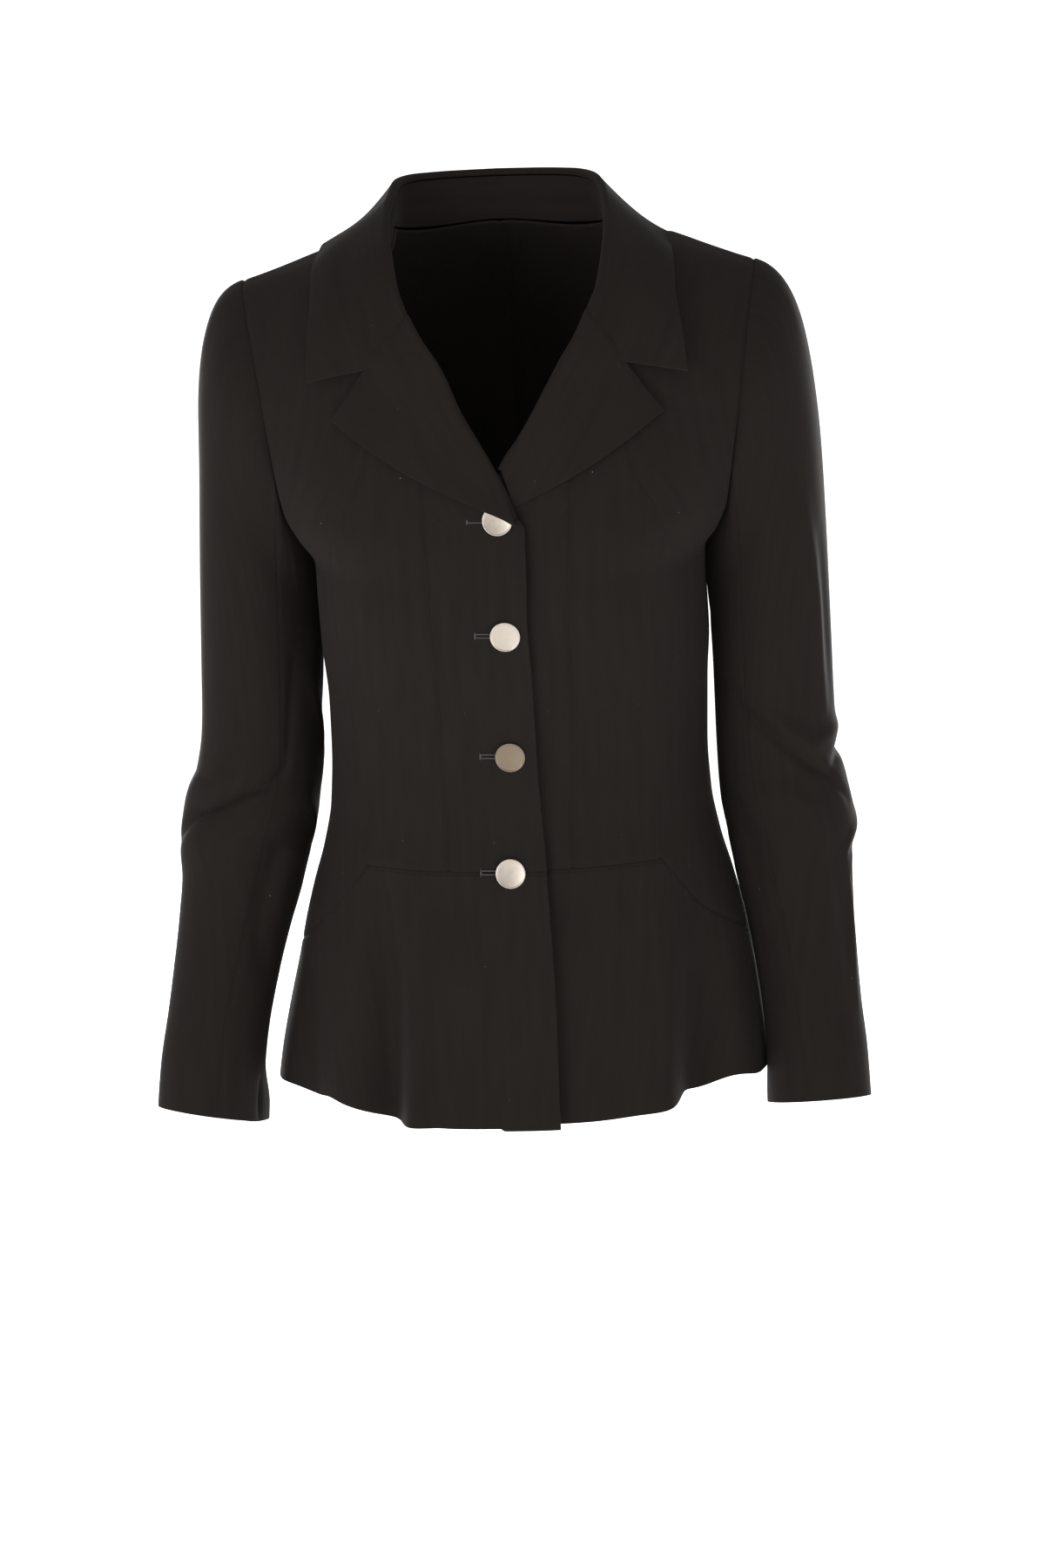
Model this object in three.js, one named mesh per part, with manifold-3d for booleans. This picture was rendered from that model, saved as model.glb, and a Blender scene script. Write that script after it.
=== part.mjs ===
// A fitted jacket of black crepe with a notched collar, four metal buttons and a flared basque,
// in the hollow form it takes when it is worn. Millimetres, +Z up, +Y to the back and +X to the
// wearer's left. The origin lies between the shoulders at the foot of the neck.

import * as THREE from 'three';
import { mergeVertices } from 'three/addons/utils/BufferGeometryUtils.js';
import Module from 'manifold-3d';

// Driving dimensions
const WALL = 2;
const SEAM = 0.3;
const HEM = -608;
const WAIST_SEAM = -431;
const UNDERARM = -235;
const SHOULDER_SEAM = 0;
const NECK_HALF = 75;
const NECK_DROP = 25;
const ROLL_RADIUS = WALL * 1.5 + SEAM;
const OVERLAP_LIFT = WALL + SEAM + 0.5;
const OVERLAP_EASE = { from: 33, to: 64 };
const BREAK = { height: -176, reach: 30, rise: 2.3, from: 6, to: 60 };
const HIP_ARC = { drop: 72, power: 1.7 };
const BUST = { across: 82, height: -232, wide: 42, tall: 60, rise: 8 };
const TILT = Math.tan(THREE.MathUtils.degToRad(0.9));
const NECK_LEAN = { across: 8, from: -110, to: 45 };
const SWAY = { across: 2, from: 240, full: 300, fade: 500, end: 600 };
const HEM_RISE = { right: 7, left: 12, from: 35, to: 150 };
const BUTTON = { radius: 10.25, thick: 2.2, shank: 1.2 };
const BUTTONS = [
  { across: 1, height: -188 },
  { across: 3.5, height: -262 },
  { across: 2.2, height: -349 },
  { across: 0.5, height: -432 },
];
const BUTTONHOLE = { long: 25, high: 3.2, past: 2.2, deep: 30 };
const SIDES = { right: -1, left: 1 };

// The part of the table between two rows is a cubic that never overshoots its neighbours.
function monotone(keys, values) {
  const count = keys.length;
  const slopes = [];
  for (let i = 0; i < count - 1; i += 1) {
    slopes.push((values[i + 1] - values[i]) / (keys[i + 1] - keys[i]));
  }
  const tangents = values.map((_, i) => {
    if (i === 0) return slopes[0];
    if (i === count - 1) return slopes[count - 2];
    const [before, after] = [slopes[i - 1], slopes[i]];
    return before * after <= 0 ? 0 : (2 * before * after) / (before + after);
  });
  return (key) => {
    const held = THREE.MathUtils.clamp(key, keys[0], keys[count - 1]);
    let i = 0;
    while (i < count - 2 && held > keys[i + 1]) i += 1;
    const span = keys[i + 1] - keys[i];
    const t = (held - keys[i]) / span;
    const rise = values[i + 1] - values[i];
    const a = tangents[i] * span;
    const b = tangents[i + 1] * span;
    return values[i] + t * (a + t * (3 * rise - 2 * a - b + t * (a + b - 2 * rise)));
  };
}

// A table with named columns, read at any value of its first column.
function table(names, rows) {
  const keys = rows.map((row) => row[0]);
  const columns = {};
  names.forEach((name, i) => {
    columns[name] = monotone(keys, rows.map((row) => row[i]));
  });
  return (key) => Object.fromEntries(names.map((name) => [name, columns[name](key)]));
}

// Each row of the body runs from the middle to the side seam, or above the underarm to the armhole.
// flat says how straight it starts, turn how round it ends.
const FRONT = table(
  ['height', 'middleY', 'middleZ', 'endX', 'endY', 'endZ', 'flat', 'turn'],
  [
    [HEM, -137, HEM, 179, 2, HEM, 2.15, 2.15],
    [-570, -130, -570, 173, 2, -570, 2.15, 2.15],
    [-530, -125, -530, 166, 2, -530, 2.15, 2.15],
    [-490, -119, -490, 157.5, 2, -490, 2.2, 2.2],
    [-460, -115, -460, 150, 2, -460, 2.2, 2.2],
    [-431, -111, -431, 141, 2, -431, 2.3, 2.3],
    [-400, -108, -400, 135, 2, -400, 2.3, 2.3],
    [-365, -108, -365, 133.5, 2, -365, 2.3, 2.3],
    [-320, -112, -320, 134, 1, -320, 2.4, 2.4],
    [-280, -118, -280, 136.3, 0, -278, 2.5, 2.5],
    [UNDERARM, -122, -235, 137, -2, -226, 2.6, 2.4],
    [-212, -122, -212, 146, -30, -207, 2.8, 1.8],
    [-190, -120, -186, 154, -47, -188, 3.2, 1.5],
    [-160, -116, -150, 158, -58, -161, 3.3, 1.3],
    [-119, -104, -82, 165, -60, -119, 2.4, 1.1],
    [-80, -88, -30, 169, -54, -90, 2.2, 1],
    [-50, -70, -12, 173, -40, -62, 2.2, 1],
    [-30, -50, 3, 176, -24, -46, 2, 1],
    [-12, -24, 14.5, 178.5, -9, -34.5, 1.6, 1],
    [SHOULDER_SEAM, 5, 21, 179, 5, -29.5, 1.6, 1],
  ],
);
const BACK = table(
  ['height', 'middleY', 'middleZ', 'endX', 'endY', 'endZ', 'flat', 'turn'],
  [
    [HEM, 124, HEM, 179, 2, HEM, 2.2, 2.2],
    [-570, 123, -570, 173, 2, -570, 2.2, 2.2],
    [-530, 119, -530, 166, 2, -530, 2.2, 2.2],
    [-490, 112, -490, 157.5, 2, -490, 2.2, 2.2],
    [-460, 105, -460, 150, 2, -460, 2.2, 2.2],
    [-431, 98, -431, 141, 2, -431, 2.2, 2.2],
    [-400, 92, -400, 135, 2, -400, 2.2, 2.2],
    [-365, 91, -365, 133.5, 2, -365, 2.2, 2.2],
    [-320, 97, -320, 134, 1, -320, 2.3, 2.3],
    [-280, 105, -280, 136.3, 0, -278, 2.3, 2.3],
    [UNDERARM, 110, -235, 137, -2, -226, 2.3, 2.3],
    [-212, 112, -214, 143, 22, -210, 2.6, 1.9],
    [-190, 114, -190, 150, 42, -190, 2.8, 1.6],
    [-160, 115, -157, 157, 60, -160, 2.8, 1.3],
    [-119, 112, -112, 165, 70, -119, 2.3, 1.1],
    [-80, 103, -66, 170, 64, -85, 2.1, 1],
    [-50, 87, -30, 174, 49, -58, 2, 1],
    [-30, 65, -5, 176.5, 33, -44, 1.9, 1],
    [-12, 35, 12.5, 178.5, 18, -33.5, 1.8, 1],
    [SHOULDER_SEAM, 5, 21, 179, 5, -29.5, 1.6, 1],
  ],
);

// Distances from the middle of the front at a height: the free edge, and the two shaping seams.
const FRONT_LINES = table(
  ['height', 'edge', 'princess', 'sideFront'],
  [
    [HEM, -34, 43, 120],
    [-520, -31, 43, 112],
    [WAIST_SEAM, -27, 43, 103],
    [-348, -22, 45, 107],
    [-265, -17.5, 48, 117],
    [-225, -17, 49, 118],
    [-183, -17, 50, 108],
    [-152, -17, 50.5, 90],
    [-110, -17, 51, 80],
    [-60, -17, 51, 84],
    [SHOULDER_SEAM, -17, 51, 100],
  ],
);
// The line where the front rolls back into lapel and collar.
const ROLL_LINE = table(
  ['z', 'across'],
  [
    [-186, -17],
    [-152, -1],
    [-116, 20],
    [-80, 41],
    [-60, 55.5],
    [-44, 63],
    [-32, 68],
    [-14, 72.5],
    [2, NECK_HALF],
  ],
);
// The free edge of a lapel from the break to its point, then the gorge back to the roll line.
const LAPEL_EDGE = table(
  ['share', 'across', 'z'],
  [
    [0, -16, -187],
    [0.1, -6, -178.5],
    [0.3, 14, -171],
    [0.52, 49, -157],
    [0.76, 79, -140.5],
    [1, 111.5, -117.5],
  ],
);
const GORGE = { across: 64, z: -48 };
const NOTCH = { across: 87.2, z: -81.7 };

// Flutes of the basque, which start under the waist seam and are full at the hem.
// around is the distance from the middle of the front, wide the flute's half width.
const FLUTES = [
  { side: -1, around: 40, wide: 45, depth: 6, start: -460 },
  { side: -1, around: 66, wide: 11, depth: 11, start: -425 },
  { side: -1, around: 92, wide: 15, depth: -17, start: -425 },
  { side: -1, around: 125, wide: 14, depth: 5, start: -450 },
  { side: -1, around: 170, wide: 22, depth: -9, start: -470 },
  { side: 1, around: 106, wide: 14, depth: 10, start: -425 },
  { side: 1, around: 142, wide: 19, depth: -18, start: -430 },
  { side: 1, around: 185, wide: 20, depth: 5, start: -470 },
];
const BACK_FLUTES = [
  { side: 0, around: 55, wide: 26, depth: 6, start: -440 },
  { side: 0, around: 105, wide: 20, depth: -6, start: -440 },
];

// Rings of a sleeve along the arm. out is how far the centre lies from the middle of the body.
const ARM = table(
  ['z', 'out', 'y', 'halfWide', 'halfDeep'],
  [
    [-628, 219, -39, 36.6, 38],
    [-590, 216.8, -30, 36, 38],
    [-557, 213, -22, 35.2, 38.5],
    [-515, 207, -12, 36.6, 40],
    [-483, 202, -5, 39, 42],
    [-455, 197.5, 0, 42.3, 44.5],
    [-430, 195.3, 4, 45.5, 47],
    [-405, 189.8, 7, 45.3, 47],
    [-385, 186, 8, 43.6, 46.5],
    [-355, 183.5, 8, 42.4, 47],
    [-300, 182, 7, 42, 50],
    [UNDERARM, 181, 6, 41, 54],
    [-190, 180.5, 6, 39.8, 57],
    [-150, 180, 6, 38.5, 58],
  ],
);
const CUFF = -621;
const ARM_SPREAD = { side: -1, out: 6.5, fuller: 1.6, from: -340 };
// The sleeve head: how far down the cap reaches outside and under the arm, and how full it is.
const CAP = { outer: -150, inner: -264, reach: 90, fall: 230, innerReach: 16, innerFall: 34 };
// Turns round the arm where the sleeve is seamed: 0 outside, a quarter at the front, half inside.
const SEAM_FRONT_LOW = 0.3;
const SEAM_BACK_LOW = 0.56;
const VENT = { height: 34, flare: { right: 5, left: 2 } };
// Creases where the arm bends, each from one place on the sleeve to another.
const CREASES = [
  { side: -1, turn: 0.02, z: -436, toTurn: 0.5, toZ: -368, wide: 8, depth: -6 },
  { side: -1, turn: 0.2, z: -452, toTurn: 0.44, toZ: -500, wide: 9, depth: -5 },
  { side: -1, turn: -0.02, z: -421, toTurn: 0.2, toZ: -405, wide: 9, depth: 4 },
  { side: 1, turn: 0.02, z: -440, toTurn: 0.46, toZ: -352, wide: 9, depth: -6 },
  { side: 1, turn: -0.04, z: -378, toTurn: 0.1, toZ: -378, wide: 7, depth: -4 },
  { side: 1, turn: -0.03, z: -420, toTurn: 0.2, toZ: -400, wide: 9, depth: 3 },
];

// The collar from the middle of the back to the gorge: where it folds, the middle and the free
// edge of its fall, and the seam that its stand rises from.
const COLLAR = table(
  ['share', 'foldX', 'foldY', 'foldZ', 'midX', 'midY', 'midZ', 'edgeX', 'edgeY', 'edgeZ'],
  [
    [0, 0, 66, 35, 0, 79, 12, 0, 86, -18],
    [0.12, 30, 61, 35, 36, 73, 12, 40, 79, -19],
    [0.24, 53, 48, 35, 67, 58, 12, 77, 62, -18],
    [0.36, 67, 29, 33.5, 89, 35, 12, 108, 34, -11],
    [0.48, 74, 8, 26, 96, 10, 9, 121, 10, -7],
    [0.6, 76, -14, 14.5, 99, -16, 3, 123, -22, -16],
    [0.72, 75.5, -35, 1, 99, -44, -12, 124.5, -46, -30],
    [0.82, 73, -53, -15, 96, -66, -29, 126, -65, -50],
    [0.91, 69, -71, -31.5, 92, -83, -56, 128, -77, -72],
    [1, GORGE.across, -84.4, GORGE.z, NOTCH.across, -94.6, NOTCH.z, 129, -84, -93],
  ],
);
// The stand is sewn to the back of the neck, round its corner at the shoulder and a little way
// down the front.
const STAND_CORNER = 0.46;
const STAND_FOOT = -18;
const STAND_END = 0.7;

const LOWER_LEVELS = [WAIST_SEAM, -404, -376, -349, -320, -291, -262];
const UPPER_LEVELS = [UNDERARM, -222, -208, -190, -182, -165, -135, -105, -78, -54, -32, -13, 0];
const CURVE_STEPS = 64;
const NECK_ROWS = -100;

const lerp = THREE.MathUtils.lerp;
const smooth = THREE.MathUtils.smoothstep;

function evenly(count) {
  return Array.from({ length: count + 1 }, (_, i) => i / count);
}

function bell(distance, width) {
  return Math.exp(-((distance / width) ** 2));
}

// A rise that starts level at the middle.
function rounded(share) {
  const soft = 0.15;
  return (Math.hypot(share, soft) - soft) / (Math.hypot(1, soft) - soft);
}

// One row of the body as a run of points from the middle, with the distance along it.
const curves = new Map();
function curve(half, height) {
  const key = `${half === FRONT}${height.toFixed(3)}`;
  if (curves.has(key)) return curves.get(key);
  const row = half(height);
  const points = evenly(CURVE_STEPS).map((step) => {
    const share = Math.sin((step * Math.PI) / 2);
    const turned = 1 - (1 - Math.min(share, 1) ** row.flat) ** (1 / row.turn);
    const x = row.endX * share;
    const y = lerp(row.middleY, row.endY, turned);
    const z = lerp(row.middleZ, row.endZ, rounded(share));
    const rise = half === FRONT
      ? BUST.rise * bell(x - BUST.across, BUST.wide) * bell(z - BUST.height, BUST.tall)
      : 0;
    return new THREE.Vector3(x, y - rise, z);
  });
  const lengths = [0];
  for (let i = 1; i < points.length; i += 1) {
    lengths.push(lengths[i - 1] + points[i].distanceTo(points[i - 1]));
  }
  const made = { points, lengths };
  curves.set(key, made);
  return made;
}

function reach(half, height) {
  const { lengths } = curve(half, height);
  return lengths[lengths.length - 1];
}

// The point at a distance from the middle; a distance below zero lies across the middle.
function along(half, height, distance) {
  const { points, lengths } = curve(half, height);
  const far = Math.min(Math.abs(distance), lengths[lengths.length - 1]);
  let i = 1;
  while (i < lengths.length - 1 && lengths[i] < far) i += 1;
  const share = (far - lengths[i - 1]) / (lengths[i] - lengths[i - 1]);
  const point = points[i - 1].clone().lerp(points[i], share);
  if (distance < 0) point.x = -point.x;
  return point;
}

// The distance along a row at which it is so far across.
function distanceAt(half, height, across) {
  const { points, lengths } = curve(half, height);
  const far = Math.abs(across);
  let i = 1;
  while (i < points.length - 1 && points[i].x < far) i += 1;
  const share = (far - points[i - 1].x) / (points[i].x - points[i - 1].x);
  return Math.sign(across) * lerp(lengths[i - 1], lengths[i], Math.min(share, 1));
}

// The height of the front row that passes through a place seen from the front.
function rowThrough(across, z) {
  let [low, high] = [HEM, SHOULDER_SEAM];
  for (let i = 0; i < 40; i += 1) {
    const middle = (low + high) / 2;
    const distance = distanceAt(FRONT, middle, across);
    if (along(FRONT, middle, distance).z < z) low = middle;
    else high = middle;
  }
  return (low + high) / 2;
}

function fluteDepth(side, half, height, distance) {
  const flutes = half === FRONT ? FLUTES : BACK_FLUTES;
  let depth = 0;
  flutes.filter((flute) => flute.side === side || flute.side === 0).forEach((flute) => {
    const fullness = THREE.MathUtils.clamp((flute.start - height) / (flute.start - HEM), 0, 1);
    depth += flute.depth * fullness ** 1.2 * bell(distance - flute.around, flute.wide);
  });
  return depth;
}

// Direction out of the body, for the wearer's left; the right side mirrors it.
function outward(half, height, distance) {
  const step = 0.5;
  const far = Math.min(distance, reach(half, height) - 2 * step);
  const across = along(half, height, far + step).sub(along(half, height, far - step));
  const low = Math.max(height - step, HEM);
  const high = Math.min(low + 2 * step, SHOULDER_SEAM);
  const share = far / reach(half, height);
  const top = along(half, high, share * reach(half, high));
  const up = top.sub(along(half, high - 2 * step, share * reach(half, high - 2 * step)));
  const normal = across.cross(up).normalize();
  return half === FRONT ? normal : normal.negate();
}

// A point of the outer face of the cloth, lifted off it and placed on its side.
function onBody(side, half, height, distance, lift = 0) {
  const point = along(half, height, distance);
  const out = outward(half, height, distance);
  point.addScaledVector(out, lift + fluteDepth(side, half, height, distance));
  point.x *= side;
  const waist = smooth(-point.z, SWAY.from, SWAY.full) - smooth(-point.z, SWAY.fade, SWAY.end);
  point.x += SWAY.across * waist;
  return stance(point);
}

// The wearer leans a little: the left side is carried higher and the neck sits to the right.
function stance(point) {
  point.z += point.x * TILT;
  point.x -= NECK_LEAN.across * smooth(point.z, NECK_LEAN.from, NECK_LEAN.to);
  return point;
}

// A closed wall behind a face, which is given by its two shares. keep holds its points on their
// own side of a seam.
function wall(face, columns, rows, outwardSign, keep = (point) => point) {
  const step = 1e-3;
  const outer = [];
  const inner = [];
  rows.forEach((v) => {
    columns.forEach((u) => {
      const point = face(u, v);
      const [u0, u1] = [Math.max(u - step, 0), Math.min(u + step, 1)];
      const [v0, v1] = [Math.max(v - step, 0), Math.min(v + step, 1)];
      const across = face(u1, v).sub(face(u0, v));
      const upward = face(u, v1).sub(face(u, v0));
      const normal = across.cross(upward).normalize().multiplyScalar(outwardSign);
      outer.push(keep(point));
      inner.push(keep(point.clone().addScaledVector(normal, -WALL)));
    });
  });
  const wide = columns.length;
  const high = rows.length;
  const count = wide * high;
  const triangles = [];
  const quad = (a, b, c, d) => triangles.push(a, b, c, a, c, d);
  for (let j = 0; j < high - 1; j += 1) {
    for (let i = 0; i < wide - 1; i += 1) {
      const a = j * wide + i;
      quad(a, a + 1, a + wide + 1, a + wide);
      quad(count + a, count + a + wide, count + a + wide + 1, count + a + 1);
    }
  }
  const rim = [];
  for (let i = 0; i < wide - 1; i += 1) rim.push(i);
  for (let j = 0; j < high - 1; j += 1) rim.push(j * wide + wide - 1);
  for (let i = wide - 1; i > 0; i -= 1) rim.push((high - 1) * wide + i);
  for (let j = high - 1; j > 0; j -= 1) rim.push(j * wide);
  rim.forEach((a, i) => {
    const b = rim[(i + 1) % rim.length];
    quad(b, a, count + a, count + b);
  });
  const geometry = new THREE.BufferGeometry();
  const positions = [...outer, ...inner].flatMap((point) => point.toArray());
  geometry.setAttribute('position', new THREE.Float32BufferAttribute(positions, 3));
  geometry.setIndex(triangles);
  return facingOut(geometry);
}

function facingOut(geometry) {
  const at = geometry.getAttribute('position');
  const index = geometry.getIndex();
  const corner = (i) => new THREE.Vector3().fromBufferAttribute(at, index.getX(i));
  let volume = 0;
  for (let i = 0; i < index.count; i += 3) {
    volume += corner(i).dot(corner(i + 1).cross(corner(i + 2)));
  }
  if (volume < 0) {
    for (let i = 0; i < index.count; i += 3) {
      const [b, c] = [index.getX(i + 1), index.getX(i + 2)];
      index.setX(i + 1, c);
      index.setX(i + 2, b);
    }
  }
  return geometry;
}

// Joining and cutting
const manifold = await Module();
manifold.setup();

function toSolid(geometry) {
  const bare = new THREE.BufferGeometry();
  bare.setAttribute('position', geometry.getAttribute('position').clone());
  bare.setIndex(geometry.getIndex());
  const merged = mergeVertices(bare);
  return new manifold.Manifold(new manifold.Mesh({
    numProp: 3,
    vertProperties: Float32Array.from(merged.getAttribute('position').array),
    triVerts: Uint32Array.from(merged.getIndex().array),
  }));
}

function toGeometry(solid) {
  const mesh = solid.getMesh();
  const geometry = new THREE.BufferGeometry();
  geometry.setAttribute('position', new THREE.Float32BufferAttribute(mesh.vertProperties, 3));
  geometry.setIndex(Array.from(mesh.triVerts));
  return geometry;
}

// Front of the body

// The right front lies over the left one, which makes room for it near the middle.
function overlapLift(side, height, across) {
  if (side === SIDES.left) return 0;
  const over = OVERLAP_LIFT * (1 - smooth(across, OVERLAP_EASE.from, OVERLAP_EASE.to));
  const broken = BREAK.rise * (1 - smooth(across, BREAK.from, BREAK.to));
  return over + broken * bell(height - BREAK.height, BREAK.reach);
}

// Where the front ends beside the middle: its free edge, and above the break its roll line.
function frontEnd(height) {
  const edge = FRONT_LINES(height).edge;
  if (height < ROLL_START) return edge;
  let across = edge;
  for (let i = 0; i < 12; i += 1) {
    const distance = distanceAt(FRONT, height, across);
    across = ROLL_LINE(along(FRONT, height, distance).z).across;
  }
  const z = along(FRONT, height, distanceAt(FRONT, height, across)).z;
  const pull = lerp(ROLL_PULL, COLLAR_PULL, smooth(z, -66, -48))
    * smooth(height, ROLL_START, ROLL_START + 6) * (1 - smooth(z, -14, 0));
  return Math.max(edge, across + pull);
}
const ROLL_START = -190;
const ROLL_PULL = ROLL_RADIUS * 1.2;
const COLLAR_PULL = ROLL_RADIUS * 1.6;

function frontPanel(side, from, to, levels) {
  const low = levels[0];
  const high = levels[levels.length - 1];
  const face = (u, v) => {
    const height = lerp(low, high, v);
    const start = distanceAt(FRONT, height, from(height)) + SEAM / 2;
    const end = distanceAt(FRONT, height, to(height)) - SEAM / 2;
    const distance = lerp(start, end, u);
    const lift = overlapLift(side, height, distance);
    return onBody(side, FRONT, height, distance, lift);
  };
  return { face, rows: levels.map((height) => (height - low) / (high - low)) };
}

// The height at which the vertical seam of the front runs out at the roll line.
function princessTop() {
  let height = ROLL_START;
  while (frontEnd(height) < FRONT_LINES(height).princess - 2) height += 0.5;
  return height - 0.5;
}

function centreFront(side) {
  const top = princessTop();
  const levels = [...LOWER_LEVELS, ...UPPER_LEVELS].filter((height) => height < top - 6);
  levels[0] += SEAM / 2;
  levels.push(top);
  const princess = (height) => FRONT_LINES(height).princess;
  const panel = frontPanel(side, frontEnd, princess, levels);
  return wall(panel.face, evenly(7), panel.rows, side);
}

// The shoulder seam runs straight across over the middle of the shoulder.
const SHOULDER_Y = 5;
const NEAR_SHOULDER = -60;
function inFrontOfShoulder(point) {
  if (point.z > NEAR_SHOULDER) point.y = Math.min(point.y, SHOULDER_Y - SEAM / 2);
  return point;
}

function middleFront(side) {
  const levels = [...LOWER_LEVELS, ...UPPER_LEVELS];
  levels[0] += SEAM / 2;
  const from = (height) => Math.max(FRONT_LINES(height).princess, frontEnd(height));
  const to = (height) => FRONT_LINES(height).sideFront;
  levels[levels.length - 1] -= SEAM / 2;
  const panel = frontPanel(side, from, to, levels);
  return wall(panel.face, evenly(5), panel.rows, side, inFrontOfShoulder);
}

// The side of the body between the side-front seam and the side seam, as a share across it.
function acrossSide(share, height) {
  const start = distanceAt(FRONT, height, FRONT_LINES(height).sideFront);
  return lerp(start + SEAM / 2, reach(FRONT, height) - SEAM / 2, share);
}

// How far the seam over the hip has dropped below the waist seam.
function hipDrop(share) {
  return HIP_ARC.drop * (1 - (1 - share) ** HIP_ARC.power);
}

function sideFront(side) {
  const levels = [...LOWER_LEVELS, ...UPPER_LEVELS];
  const span = SHOULDER_SEAM - SEAM / 2 - WAIST_SEAM;
  const shares = levels.map((height) => (height - WAIST_SEAM) / (SHOULDER_SEAM - WAIST_SEAM));
  const face = (u, v) => {
    const settled = Math.min(v / shares[6], 1);
    const height = WAIST_SEAM + SEAM / 2 + span * v - hipDrop(u) * (1 - settled);
    return onBody(side, FRONT, Math.min(height, SHOULDER_SEAM - SEAM / 2), acrossSide(u, height));
  };
  return wall(face, evenly(8), shares, side, inFrontOfShoulder);
}

// The hem rises a little toward the sides.
const HEM_WIDTH = 178;
function hemAt(side, across) {
  const rise = side === SIDES.right ? HEM_RISE.right : HEM_RISE.left;
  return HEM + rise * smooth(across, HEM_RISE.from, HEM_RISE.to);
}

function basque(side) {
  const toCorner = 9;
  const pastCorner = 8;
  const corner = toCorner / (toCorner + pastCorner);
  const face = (u, v) => {
    const share = Math.max((u - corner) / (1 - corner), 0);
    const top = WAIST_SEAM - SEAM / 2 - hipDrop(share);
    const height = lerp(hemAt(side, u * HEM_WIDTH), top, v);
    const start = distanceAt(FRONT, height, FRONT_LINES(height).edge);
    const bend = distanceAt(FRONT, height, FRONT_LINES(height).sideFront);
    const distance = u < corner ? lerp(start, bend, u / corner) : acrossSide(share, height);
    const lift = overlapLift(side, height, distance);
    return onBody(side, FRONT, height, distance, lift);
  };
  return wall(face, evenly(toCorner + pastCorner), evenly(7), side);
}

// Back of the body, cut out at the top for the neck
const CENTRE_BACK = 0.5;
function middleAt(z) {
  const waist = smooth(-z, SWAY.from, SWAY.full) - smooth(-z, SWAY.fade, SWAY.end);
  return SWAY.across * waist - NECK_LEAN.across * smooth(z, NECK_LEAN.from, NECK_LEAN.to);
}

function back(side) {
  const neckShare = NECK_HALF / FRONT(SHOULDER_SEAM).endX;
  const columns = [0, 0.1, 0.2, 0.3, 0.36, 0.4, neckShare, 0.48, 0.55, 0.7, 0.85, 1];
  const levels = [HEM, -565, -525, -490, -460, ...LOWER_LEVELS, ...UPPER_LEVELS];
  const shares = levels.map((height) => (height - HEM) / (SHOULDER_SEAM - HEM));
  const face = (u, v) => {
    const top = neckSeam((u / neckShare) * NECK_HALF);
    const even = lerp(hemAt(side, u * HEM_WIDTH), SHOULDER_SEAM, v);
    const nearNeck = Math.max(even - NECK_ROWS, 0) / (SHOULDER_SEAM - NECK_ROWS);
    const height = even + (top - SHOULDER_SEAM) * nearNeck;
    const distance = lerp(SEAM / 2, reach(BACK, height) - SEAM / 2, u);
    return onBody(side, BACK, height, distance);
  };
  const keep = (point) => {
    if (point.z > NEAR_SHOULDER) point.y = Math.max(point.y, SHOULDER_Y + SEAM / 2);
    if (side * point.x < CENTRE_BACK) point.x = middleAt(point.z) + (side * SEAM) / 2;
    return point;
  };
  return wall(face, columns, shares, -side, keep);
}

// Lapels, which lie on the fronts as the fronts' own points moved out

const LAPEL_BREAK = -186;
const LAPEL_LIFT = 0.4;

function lapelRoll(share) {
  const z = lerp(LAPEL_BREAK, GORGE.z, share);
  return new THREE.Vector2(ROLL_LINE(z).across, z);
}

// The direction of the gorge, and the one beside it into the lapel.
const ALONG_GORGE = new THREE.Vector2(NOTCH.across - GORGE.across, NOTCH.z - GORGE.z).normalize();
const BESIDE_GORGE = new THREE.Vector2(NOTCH.z - GORGE.z, GORGE.across - NOTCH.across).normalize();

// The direction from the lapel across its roll line, in the plane seen from the front.
function acrossRoll(share) {
  const run = lapelRoll(Math.min(share + 0.01, 1)).sub(lapelRoll(Math.max(share - 0.01, 0)));
  return new THREE.Vector2(-run.y, run.x).normalize();
}

function lapel(side) {
  const wrapped = 3;
  const flat = 8;
  const bend = wrapped / (wrapped + flat);
  const [rollStart, edgeStart] = side === SIDES.right ? [0.03, 0.02] : [0.268, 0.277];
  const face = (u, v) => {
    const share = lerp(rollStart, 1, v);
    const edge = LAPEL_EDGE(lerp(edgeStart, 1, v));
    const tucked = lerp(35, -75, smooth(v, 0, 0.3));
    const angle = lerp(tucked, 90, Math.min(u / bend, 1)) * THREE.MathUtils.DEG2RAD;
    const out = Math.max((u - bend) / (1 - bend), 0);
    const pulled = ROLL_RADIUS * (1 - Math.cos(angle));
    const beside = acrossRoll(share).negate().lerp(ALONG_GORGE, smooth(v, 0.8, 1)).normalize();
    const place = lapelRoll(share).addScaledVector(beside, pulled);
    place.lerp(new THREE.Vector2(edge.across, edge.z), out);
    place.addScaledVector(BESIDE_GORGE, SEAM * 1.8 * smooth(v, 0.9, 1));
    const height = rowThrough(Math.abs(place.x), place.y);
    const distance = distanceAt(FRONT, height, place.x);
    const puff = 1.7 * Math.sin(Math.PI * Math.min(out * 1.1, 1)) * share;
    const roll = ROLL_RADIUS * Math.sin(angle) - WALL / 2 + LAPEL_LIFT;
    const over = overlapLift(side, height, place.x) + overButton(side, place) * smooth(u, 0, bend);
    return onBody(side, FRONT, height, distance, roll + puff + over);
  };
  return wall(face, evenly(wrapped + flat), evenly(10), side);
}

// The right lapel is lifted where it lies over the top button.
function overButton(side, place) {
  if (side === SIDES.left) return 0;
  const [top] = BUTTONS;
  const miss = Math.hypot(place.x + top.across, place.y - top.height);
  return 5.6 * bell(miss, 16);
}

// Collar

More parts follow.
